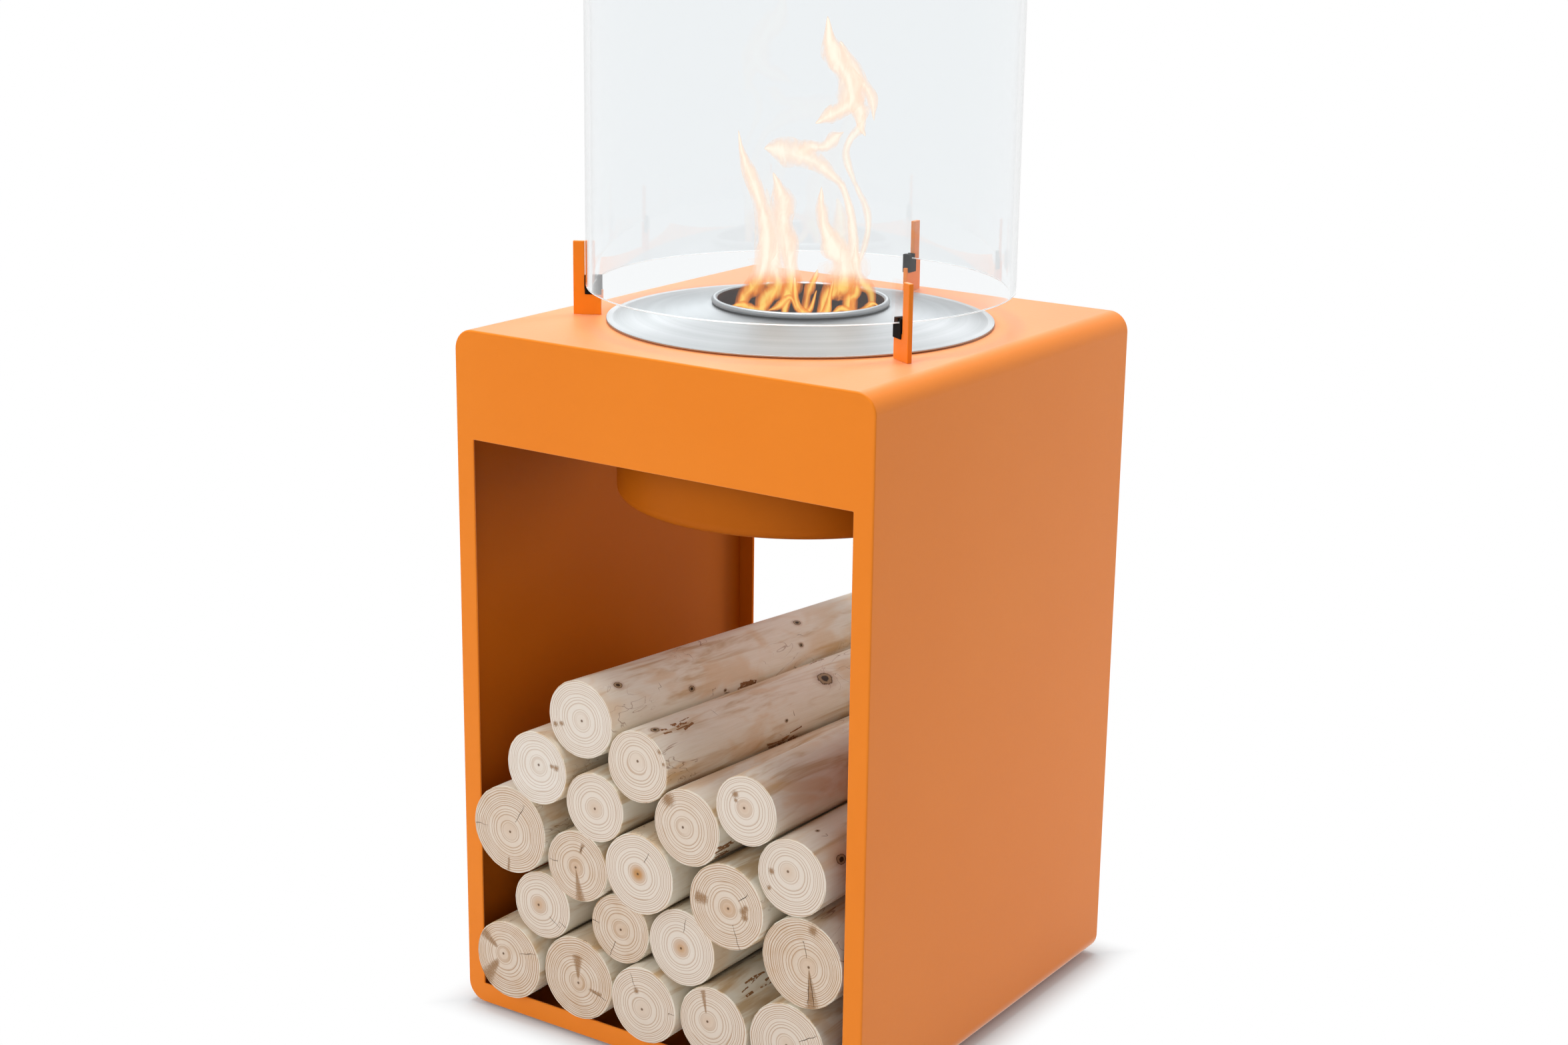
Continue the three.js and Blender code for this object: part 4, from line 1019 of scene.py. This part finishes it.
def gather_scraps(node, rng, front, rear, rows, skin):
    """Thin scraps of bark that still cling to the peeled log, where its habits say and a few by chance."""
    way = (rear - front)[:3]
    length = way[1]
    sites = list(LOG_HABITS[node].get("scraps", ()))
    for _ in range(2):
        angle, along = rng.uniform(0, 360), rng.uniform(0.05, 0.95) * length / MM
        sites.append((angle, along, 8, 2, int(rng.integers(1, 4))))
    places, turns, sizes = loose_scraps[log_body(node)]
    for angle, along, reach, across, count in sites:
        for _ in range(count):
            long = rng.uniform(5.0, 17.0) * MM
            at = np.clip(along * MM + rng.normal(0, reach * MM * 0.5), 0.6 * long, length - 0.6 * long)
            row = int(np.argmin(np.abs(rows - at)))
            spoke = (radians(angle) + rng.normal(0, across * MM * 0.5) / front[3]) % (2 * pi)
            out = Vector((cos(spoke), 0, sin(spoke)))
            along_log = Vector(way).normalized()
            side = out.cross(along_log).normalized()
            turn = Matrix((along_log, side, along_log.cross(side))).transposed()
            centre = front[:3] + way * (rows[row] / length)
            places.append(Vector(centre) + out * (skin_at(skin, row, spoke) - 0.1 * MM))
            turns.append((turn @ Matrix.Rotation(rng.normal(0, 0.12), 3, "Z")).to_euler())
            sizes.append((long, rng.uniform(0.8, 2.2) * MM, rng.uniform(0.25, 0.45) * MM))


def gather_fibres(node, rng, front, rear, skin):
    """Torn fibres that the saw leaves round the rim of each end, lying outwards and a little back."""
    places, turns, sizes = rim_fibres[log_body(node)]
    for end, row, inwards in ((front, 0, 1), (rear, -1, -1)):
        for _ in range(FIBRES_PER_END):
            spoke = rng.uniform(0, 2 * pi)
            reach = skin_at(skin, row, spoke) - 0.5 * MM
            out = Vector((cos(spoke), inwards * rng.uniform(0.4, 2.0), sin(spoke))).normalized()
            swing = Matrix.Rotation(rng.normal(0, 0.5), 3, Vector((cos(spoke), 0, sin(spoke))))
            places.append((end[0] + reach * cos(spoke), end[1] + inwards * 0.5 * MM,
                           end[2] + reach * sin(spoke)))
            turns.append((swing @ out).to_track_quat("Z", "Y").to_euler())
            long, thick = rng.uniform(0.5, 1.5) * MM, rng.uniform(0.08, 0.2) * MM
            sizes.append((thick, thick, long))


for seed, node in enumerate(LOG_HABITS):
    add_log(node, seed)


# Pieces that repeat, made with Geometry Nodes
def new_tree(name, *labels):
    """A Geometry Nodes tree with named number inputs; returns the tree and its input sockets."""
    tree = bpy.data.node_groups.new(name, "GeometryNodeTree")
    tree.interface.new_socket("Geometry", in_out="OUTPUT", socket_type="NodeSocketGeometry")
    tree.interface.new_socket("Geometry", in_out="INPUT", socket_type="NodeSocketGeometry")
    for label in labels:
        tree.interface.new_socket(label, in_out="INPUT", socket_type="NodeSocketFloat")
    return tree, add_node(tree, "NodeGroupInput").outputs


def finish_tree(tree, geometry, material):
    """Makes instances real and sets the material, as the tree's last two steps."""
    real = add_node(tree, "GeometryNodeRealizeInstances", None, {0: geometry})
    dressed = add_node(tree, "GeometryNodeSetMaterial", None, {0: real, "Material": material})
    add_node(tree, "NodeGroupOutput", None, {0: dressed})
    return tree


def grow(name, tree, values, body, carrier=None, replaced=(), crease=35):
    """Runs a tree on a carrier mesh with its inputs set, and keeps the result as one plain mesh on a body."""
    piece = new_object(name, carrier or bpy.data.meshes.new(name + "_seed"))
    maker = piece.modifiers.new("maker", "NODES")
    maker.node_group = tree
    for item in tree.interface.items_tree:
        if item.in_out == "INPUT" and item.name in values:
            maker[item.identifier] = values[item.name]
    whole = bake_modifiers(piece)
    whole.shade_smooth()
    whole.set_sharp_from_angle(angle=radians(crease))
    return place_piece(piece, body, replaced)


def point_carrier(name, places, turns, sizes):
    """Loose points that carry a turn and a size each."""
    mesh = bpy.data.meshes.new(name)
    mesh.from_pydata([tuple(place) for place in places], [], [])
    store(mesh, "turn", [tuple(turn) for turn in turns])
    store(mesh, "size", sizes)
    return mesh


def scattered(tree, geometry, shape):
    """A shape on every point of the carrier, turned and sized by the point's attributes, and made real."""
    turn, size = (add_node(tree, "GeometryNodeInputNamedAttribute", {"data_type": "FLOAT_VECTOR"}, {
        "Name": name}) for name in ("turn", "size"))
    turned_by = add_node(tree, "FunctionNodeEulerToRotation", None, {0: turn})
    placed = add_node(tree, "GeometryNodeInstanceOnPoints", None, {
        "Points": geometry, "Instance": shape, "Rotation": turned_by, "Scale": size})
    return add_node(tree, "GeometryNodeRealizeInstances", None, {0: placed})


def roughened(tree, geometry, amount, waves):
    """Every point shifted by a noise of its own place, so that no two copies are alike."""
    place = add_node(tree, "GeometryNodeInputPosition")
    noise = add_node(tree, "ShaderNodeTexNoise", None, {"Vector": place, "Scale": waves, "Detail": 1.0})
    centred = add_node(tree, "ShaderNodeVectorMath", {"operation": "SUBTRACT"}, {
        0: noise.outputs["Color"], 1: (0.5, 0.5, 0.5)})
    shift = add_node(tree, "ShaderNodeVectorMath", {"operation": "SCALE"}, {0: centred, "Scale": amount})
    return add_node(tree, "GeometryNodeSetPosition", None, {0: geometry, "Offset": shift})


def bark_scrap_tree():
    """A scrap is a thin closed leaf, curled up along its long edges and ragged all round."""
    tree, given = new_tree("bark_scraps", "Curl", "Raggedness", "Wave scale")
    leaf = add_node(tree, "GeometryNodeMeshCube", None, {
        "Size": (1.0, 1.0, 1.0), "Vertices X": 9, "Vertices Y": 4, "Vertices Z": 2})
    place = add_node(tree, "GeometryNodeInputPosition")
    across = add_node(tree, "ShaderNodeSeparateXYZ", None, {0: place}).outputs["Y"]
    square = add_node(tree, "ShaderNodeMath", TIMES, {0: across, 1: across})
    lift = add_node(tree, "ShaderNodeMath", TIMES, {0: square, 1: given["Curl"]})
    offset = add_node(tree, "ShaderNodeCombineXYZ", None, {"Z": lift})
    curled = add_node(tree, "GeometryNodeSetPosition", None, {0: leaf, "Offset": offset})
    spread = scattered(tree, given["Geometry"], curled)
    ragged = roughened(tree, spread, given["Raggedness"], given["Wave scale"])
    return finish_tree(tree, ragged, bark_scrap)


def rim_fibre_tree():
    """A fibre is a bent sliver that runs out to a point."""
    tree, given = new_tree("rim_fibres", "Bend", "Wave scale")
    sliver = add_node(tree, "GeometryNodeMeshCone", None, {
        "Vertices": 4, "Side Segments": 2, "Radius Top": 0.0, "Radius Bottom": 1.0, "Depth": 1.0})
    spread = scattered(tree, given["Geometry"], sliver)
    return finish_tree(tree, roughened(tree, spread, given["Bend"], given["Wave scale"]), torn_fibre)


def perforated_disc_tree():
    """A round sheet with one hole in its middle, six in a ring round it and twelve in the next ring."""
    tree, given = new_tree("perforated_disc", "Radius", "Hole radius", "Ring spacing", "Bottom", "Sheet")
    rim = add_node(tree, "GeometryNodeCurvePrimitiveCircle", None, {
        "Resolution": 128, "Radius": given["Radius"]})
    hole = add_node(tree, "GeometryNodeCurvePrimitiveCircle", None, {
        "Resolution": 24, "Radius": given["Hole radius"]})
    hole_places = [add_node(tree, "GeometryNodeMeshLine", None, {"Count": 1})]
    for ring in (1, 2):
        reach = add_node(tree, "ShaderNodeMath", TIMES, {0: given["Ring spacing"], 1: ring})
        hole_places.append(add_node(tree, "GeometryNodeMeshCircle", None, {
            "Vertices": 6 * ring, "Radius": reach}))
    rings = add_node(tree, "GeometryNodeJoinGeometry", None, {0: hole_places})
    holes = add_node(tree, "GeometryNodeInstanceOnPoints", None, {"Points": rings, "Instance": hole})
    real = add_node(tree, "GeometryNodeRealizeInstances", None, {0: holes})
    outlines = add_node(tree, "GeometryNodeJoinGeometry", None, {0: [rim, real]})
    sheet = add_node(tree, "GeometryNodeFillCurve", None, {0: outlines})
    low = add_node(tree, "ShaderNodeCombineXYZ", None, {"Z": given["Bottom"]})
    placed = add_node(tree, "GeometryNodeTransform", None, {"Geometry": sheet, "Translation": low})
    under = add_node(tree, "GeometryNodeFlipFaces", None, {0: placed})
    raised = add_node(tree, "GeometryNodeExtrudeMesh", {"mode": "FACES"}, {
        "Mesh": placed, "Offset": (0.0, 0.0, 1.0), "Offset Scale": given["Sheet"], "Individual": False})
    both = add_node(tree, "GeometryNodeJoinGeometry", None, {0: [under, raised]})
    welded = add_node(tree, "GeometryNodeMergeByDistance", None, {0: both, "Distance": 0.01 * MM})
    return finish_tree(tree, welded, spun_stainless)


def stud_thread_tree():
    """A screw thread: a three-sided ridge wound up each stud."""
    tree, given = new_tree("stud_threads", "Radius", "Pitch", "Turns", "Bottom")
    rise = add_node(tree, "ShaderNodeMath", TIMES, {0: given["Pitch"], 1: given["Turns"]})
    helix = add_node(tree, "GeometryNodeCurveSpiral", None, {
        "Resolution": 18, "Rotations": given["Turns"], "Start Radius": given["Radius"],
        "End Radius": given["Radius"], "Height": rise})
    ridge_size = add_node(tree, "ShaderNodeMath", TIMES, {0: given["Pitch"], 1: 0.42})
    ridge = add_node(tree, "GeometryNodeCurvePrimitiveCircle", None, {"Resolution": 3, "Radius": ridge_size})
    wound = add_node(tree, "GeometryNodeCurveToMesh", None, {
        "Curve": helix, "Profile Curve": ridge, "Fill Caps": True})
    low = add_node(tree, "ShaderNodeCombineXYZ", None, {"Z": given["Bottom"]})
    placed = add_node(tree, "GeometryNodeTransform", None, {"Geometry": wound, "Translation": low})
    on_studs = add_node(tree, "GeometryNodeInstanceOnPoints", None, {
        "Points": given["Geometry"], "Instance": placed})
    return finish_tree(tree, on_studs, zinc_plate)


grid_low, grid_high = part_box("burner_grid")
grow("burner_grid_perforated", perforated_disc_tree(), {
    "Radius": (grid_high.x - grid_low.x) / 2, "Hole radius": 4.5 * MM, "Ring spacing": 21 * MM,
    "Bottom": grid_low.z, "Sheet": grid_high.z - grid_low.z}, "burner",
    replaced=("burner_grid",))
stud_points = bpy.data.meshes.new("stud_places")
stud_points.from_pydata([(x, y, 0) for x, y in foot_places], [], [])
grow("foot_stud_threads", stud_thread_tree(), {
    "Radius": STUD_CORE + 0.1 * MM, "Pitch": 1 * MM, "Turns": 9.0, "Bottom": PAD_TOP + 0.6 * MM},
    "box", stud_points)

scrap_tree, fibre_tree = bark_scrap_tree(), rim_fibre_tree()
for body in ("log_stack", "top_log"):
    grow(f"bark_scraps_{body}", scrap_tree, {"Curl": 1.2, "Raggedness": 1.0 * MM, "Wave scale": 420.0},
         body, point_carrier("scrap_places", *loose_scraps[body]))
    grow(f"rim_fibres_{body}", fibre_tree, {"Bend": 0.5 * MM, "Wave scale": 900.0},
         body, point_carrier("fibre_places", *rim_fibres[body]))


# The flame
# Each tongue: how far behind the burner's axis it starts and ends, how strongly it glows, then its way up as
# steps of (to the right, up, half width), in millimetres, seen along the photograph's direction
FLAME_TONGUES = [
    (-6, -10, 1, [(-48.5, 546, 2), (-48.5, 603.2, 4.2), (-34.9, 621.1, 9.6), (-28.6, 639.5, 9),
                  (-28.8, 657.7, 8.6), (-32.6, 675.7, 8.4), (-38.2, 695.5, 7.4), (-42.9, 711.5, 5.4),
                  (-48.4, 729.3, 2.8), (-52.1, 747.2, 0.3)]),
    (4, 8, 1, [(-12.5, 546, 2), (-13.7, 602.9, 4), (-8.9, 621.5, 9.2), (-8.6, 639.8, 8.2),
               (-10.4, 656.1, 8.4), (-13.3, 668.8, 9.6), (-15.6, 683.2, 9.6), (-20.3, 697.5, 6.6),
               (-24.5, 711.3, 0.4)]),
    (-14, -8, 0.9, [(-35.1, 546, 2), (-30.3, 603.1, 5), (-22.1, 620.9, 10.2), (-20.6, 637.6, 6.6),
                    (-19.8, 657.3, 0.6)]),
    (0, 4, 1, [(12.9, 546, 2), (18.7, 602.4, 4.6), (27.7, 617.4, 12.4), (32.5, 631.3, 12.4),
               (31.9, 644.9, 11.2), (24.9, 658.5, 8.8), (17, 670.3, 6.2), (15, 683.9, 4.4),
               (15.6, 700.7, 0.4)]),
    (10, 2, 0.75, [(42.4, 546, 2), (44.1, 612.8, 5.2), (44.1, 640.6, 4.2), (42.2, 662.4, 3.6),
                   (37.8, 684, 3.6), (31.7, 700.1, 4.2), (22.6, 709.9, 5.8), (11.6, 720.4, 7.2),
                   (-1.9, 728.2, 9.2), (-14.5, 731.5, 11.6), (-24.2, 731.4, 8.4), (-31.7, 730.6, 0.6)]),
    (2, 0, 0.75, [(-6.6, 727.2, 0.8), (0.4, 729.4, 5.4), (8.1, 732.6, 6), (16.7, 735.3, 5.4),
                  (25.6, 740.3, 5), (32.8, 745.9, 0.5)]),
    (6, 12, 0.6, [(45.5, 634, 0.8), (51.6, 653.5, 3.4), (54.8, 669.9, 3.2), (52.7, 684.3, 3),
                  (44.7, 698.5, 3), (37.2, 714.6, 3), (34.2, 727, 3.2), (38.4, 737.8, 3.8),
                  (46.5, 747.4, 3.8), (49.1, 761.7, 0.6)]),
    (4, 0, 1, [(9.4, 751.6, 0.6), (18.2, 755.6, 5.2), (27.4, 759.4, 7.2), (34.5, 766.3, 10),
               (36, 777.7, 11.2), (31.7, 791.5, 10.6), (25.2, 806.3, 9), (21, 819.4, 6.2),
               (17.9, 837.6, 0.3)]),
    (-2, 6, 0.8, [(57, 754.6, 0.3), (54.4, 768.1, 4), (50.1, 780.4, 5.4), (42.7, 792.5, 6.2),
                  (34.7, 804.3, 5.4), (28, 817.3, 0.8)]),
    (8, 4, 0.9, [(50.5, 741.1, 0.4), (45.8, 753, 5.4), (43.2, 767.9, 7.6), (41.1, 782, 7),
                 (38.4, 797.5, 0.8)]),
    (-16, -10, 0.7, [(50.6, 546, 2), (57.5, 609.3, 4.2), (49.1, 625.7, 5.2), (45.9, 638.8, 4),
                     (43.8, 656.5, 0.4)]),
    (-18, -20, 1, [(-5.4, 630.4, 0.6), (-4.6, 610.5, 3), (2.7, 600.6, 3.4), (12.7, 598.6, 3.4),
                   (20.2, 602.6, 3.2), (23.6, 613.5, 2.8), (26.4, 628, 0.5)]),
    (-22, -12, 1, [(-58, 606, 0.5), (-47, 608, 2.8), (-37, 602.5, 3.2), (-28, 605, 3.2), (-22, 615, 2.8),
                   (-18, 629, 0.5)]),
    (-10, -16, 1, [(-27, 600, 0.6), (-17, 605.5, 3.2), (-9, 612, 2.8), (-3, 604, 2.8), (4, 600.5, 2.8),
                   (9, 606, 2.4), (13, 619, 0.5)]),
    (-20, -14, 1, [(25, 600, 0.6), (33, 604.5, 3.2), (42, 601.5, 3.4), (50, 604.5, 2.8), (58, 609, 1.8),
                   (65, 606, 0.4)]),
    (14, 16, 0.9, [(2, 546, 2), (3.5, 602.5, 4), (9.5, 617, 4.2), (13.5, 631, 0.4)]),
    (-10, -6, 0.9, [(33, 546, 2), (39, 603, 4.6), (44.5, 617, 4.6), (46.5, 631, 0.5)]),
    # The thin glow that joins the tongues on each side
    (0, 2, 0.32, [(-26, 618, 4), (-25, 626, 15), (-21, 640, 16), (-22, 662, 12), (-29, 700, 0.8)]),
    (0, 2, 0.32, [(30, 618, 4), (32, 626, 17), (36, 640, 15), (34, 660, 10), (28, 692, 0.8)]),
]


def smooth_way(steps, count):
    """A smooth curve through the steps, as evenly counted rows of the same numbers."""
    steps = np.array(steps, float)
    padded = np.vstack((2 * steps[0] - steps[1], steps, 2 * steps[-1] - steps[-2]))
    rows = []
    for t in np.linspace(0, len(steps) - 1, count):
        k = min(int(t), len(steps) - 2)
        u = t - k
        a, b, c, d = padded[k:k + 4]
        rows.append(0.5 * (2 * b + (c - a) * u + (2 * a - 5 * b + 4 * c - d) * u ** 2
                           + (3 * b - a - 3 * c + d) * u ** 3))
    return np.array(rows)


def add_flame(around=24, count=64):
    """The burning tongues, as closed shells that are thickest in the middle and run out to points."""
    across = np.array((cos(AZIMUTH), sin(AZIMUTH), 0))
    behind = np.array((-sin(AZIMUTH), cos(AZIMUTH), 0))
    rng = np.random.default_rng(11)
    points, faces = [], []
    values = {"edge": [], "cover": []}
    along = np.linspace(0, 1, count)
    thinnest, flatness = 0.25, 0.62
    for depth_start, depth_end, strength, steps in FLAME_TONGUES:
        rows = smooth_way(steps, count)
        ways = np.gradient(rows[:, :2], axis=0)
        ways /= np.linalg.norm(ways, axis=1)[:, None]
        sides = np.stack((ways[:, 1], -ways[:, 0]), axis=1)
        sway = rows[:, 2] * 0.25 * np.sin(along * rng.uniform(7, 14) + rng.uniform(0, 6))
        rows[:, :2] += sides * sway[:, None]
        halves = rows[:, 2] * (1 + 0.2 * np.sin(along * rng.uniform(10, 22) + rng.uniform(0, 6)))
        depths = np.linspace(depth_start, depth_end, count) + 3 * np.sin(
            along * rng.uniform(3, 7) + rng.uniform(0, 6))
        first = len(points)
        for row in range(1, count - 1):
            half = max(halves[row], thinnest)
            for step in range(around):
                angle = step * 2 * pi / around
                place = rows[row, :2] + sides[row] * half * cos(angle)
                depth = depths[row] + flatness * half * sin(angle)
                points.append((across * place[0] + behind * depth + (0, 0, place[1])) * MM)
                values["edge"].append(abs(cos(angle)))
        loops = count - 2
        faces += [tuple(first + k for k in face) for face in loops_to_faces(loops, around, closed=False)]
        for end, row in ((0, 0), (count - 1, loops - 1)):
            points.append((across * rows[end, 0] + behind * depths[end] + (0, 0, rows[end, 1])) * MM)
            values["edge"].append(1.0)
            faces += fan(len(points) - 1, first + row * around, around, row > 0)
        values["cover"] += [strength] * (len(points) - first)
    mesh = bpy.data.meshes.new("flame_tongues")
    mesh.from_pydata([tuple(point) for point in points], [], faces)
    shape = bmesh.new()
    shape.from_mesh(mesh)
    bmesh.ops.recalc_face_normals(shape, faces=shape.faces)
    shape.to_mesh(mesh)
    shape.free()
    mesh.materials.append(flame_glow)
    mesh.shade_smooth()
    for name, numbers in values.items():
        store(mesh, name, numbers)
    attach(new_object("flame_tongues", mesh), "burner")


add_flame()


# Studio
def seen_share(tree):
    """1 for rays from the camera, off a shiny surface or through glass, and 0 for rays that carry light."""
    ray = add_node(tree, "ShaderNodeLightPath")
    seen = add_node(tree, "ShaderNodeMath", {"operation": "MAXIMUM"}, {
        0: ray.outputs["Is Camera Ray"], 1: ray.outputs["Is Glossy Ray"]})
    return add_node(tree, "ShaderNodeMath", {"operation": "MAXIMUM"}, {
        0: seen, 1: ray.outputs["Is Transmission Ray"]})


def white_floor_surface(tree, place):
    """Matt white paper that takes the object's contact shadow and is plain white beyond it."""
    seen = seen_share(tree)
    # Where it is seen, the floor is a little blue, which takes back the orange that the box throws on it
    tint = add_node(tree, "ShaderNodeMix", COLOUR_MIX, {0: seen, 6: linear("#DEDEDE"), 7: linear("#D9E1E5")})
    matt = add_node(tree, "ShaderNodeBsdfDiffuse", None, {"Color": tint})
    # Outside the object's contact shadow the floor turns plain white, so that no horizon shows
    ground = add_node(tree, "ShaderNodeVectorMath", {"operation": "ABSOLUTE"}, {0: place})
    sides = add_node(tree, "ShaderNodeSeparateXYZ", None, {0: ground}).outputs
    away = add_node(tree, "ShaderNodeMath", {"operation": "MAXIMUM"}, {0: sides["X"], 1: sides["Y"]})
    whiten = add_node(tree, "ShaderNodeMapRange", EASED, {
        "Value": away, "From Min": BOX_HALF - 12 * MM, "From Max": BOX_HALF + 34 * MM})
    share = add_node(tree, "ShaderNodeMath", TIMES, {0: seen, 1: whiten})
    white = add_node(tree, "ShaderNodeEmission")
    return add_node(tree, "ShaderNodeMixShader", None, {0: share, 1: matt, 2: white})


def plain_floor(reach):
    """The floor of the picture, which is no part of the object."""
    mesh = bpy.data.meshes.new("studio_floor")
    corners = [(-reach, -reach, 0), (reach, -reach, 0), (reach, reach, 0), (-reach, reach, 0)]
    mesh.from_pydata(corners, [], [(0, 1, 2, 3)])
    mesh.materials.append(make_material("studio_floor_white", white_floor_surface))
    new_object("studio_floor", mesh)


def white_surround(fill):
    """The world lights the object softly, and is plain white where it is seen, mirrored or looked through."""
    world = bpy.data.worlds.new("studio_surround")
    world.use_nodes = True
    tree = world.node_tree
    tree.nodes.clear()
    strength = add_node(tree, "ShaderNodeMapRange", None, {
        "Value": seen_share(tree), "To Min": fill, "To Max": 1.0})
    light = add_node(tree, "ShaderNodeBackground", None, {"Color": linear("#FFFFFF"), "Strength": strength})
    add_node(tree, "ShaderNodeOutputWorld", None, {"Surface": light})
    bpy.context.scene.world = world


def soft_lamp(name, place, aim, width, power, mirrored):
    """A round soft light, never seen through the glass; one that isn't mirrored draws no streak on it."""
    light = bpy.data.lights.new(name, "AREA")
    light.shape = "DISK"
    light.size = width
    light.energy = power
    lamp = new_object(name, light)
    lamp.location = place
    lamp.rotation_euler = (Vector((0, 0, aim)) - Vector(place)).to_track_quat("-Z", "Y").to_euler()
    lamp.visible_transmission = False
    lamp.visible_glossy = mirrored


plain_floor(reach=40.0)
white_surround(fill=0.25)
# Place and width in metres, the height on the burner's axis that the lamp looks at, and power in watts
for name, place, aim, width, power, mirrored in (
        ("front_soft", (-0.4, -3.2, 1.7), 0.3, 1.8, 38, False),
        ("key_left", (-2.8, -1.6, 2.5), 0.4, 1.4, 16, False),
        ("back_left", (-1.8, 2.5, 2.4), 0.5, 1.5, 20, True),
        ("front_right_low", (1.7, -2.6, 0.8), 0.3, 1.4, 9, False),
        ("back_right_low", (1.1, 2.8, 0.7), 0.3, 1.2, 46, False),
        ("overhead", (-0.25, 0.1, 3.2), 0.4, 1.5, 66, True)):
    soft_lamp(name, place, aim, width, power, mirrored)


def photo_camera():
    """The photograph's camera: its place, turn and roll, its lens, and its centre's shift to one side."""
    ahead = Vector((-sin(AZIMUTH) * cos(ELEVATION), cos(AZIMUTH) * cos(ELEVATION), -sin(ELEVATION)))
    level_right = Vector((cos(AZIMUTH), sin(AZIMUTH), 0))
    level_down = ahead.cross(level_right)
    right = cos(ROLL) * level_right + sin(ROLL) * level_down
    down = cos(ROLL) * level_down - sin(ROLL) * level_right
    lens = bpy.data.cameras.new("photo_camera")
    lens.sensor_width = SENSOR_WIDTH
    lens.lens = SENSOR_WIDTH * FOCAL_PIXELS / PHOTO_WIDTH
    lens.shift_x = (PHOTO_WIDTH / 2 - CENTRE_COLUMN) / PHOTO_WIDTH
    lens.clip_start = 0.05
    lens.clip_end = 60
    camera = new_object("photo_camera", lens)
    turn = Matrix((right, -down, -ahead)).transposed().to_4x4()
    camera.matrix_world = Matrix.Translation(EYE) @ turn
    bpy.context.scene.camera = camera


photo_camera()
bpy.context.scene.view_settings.view_transform = "Standard"
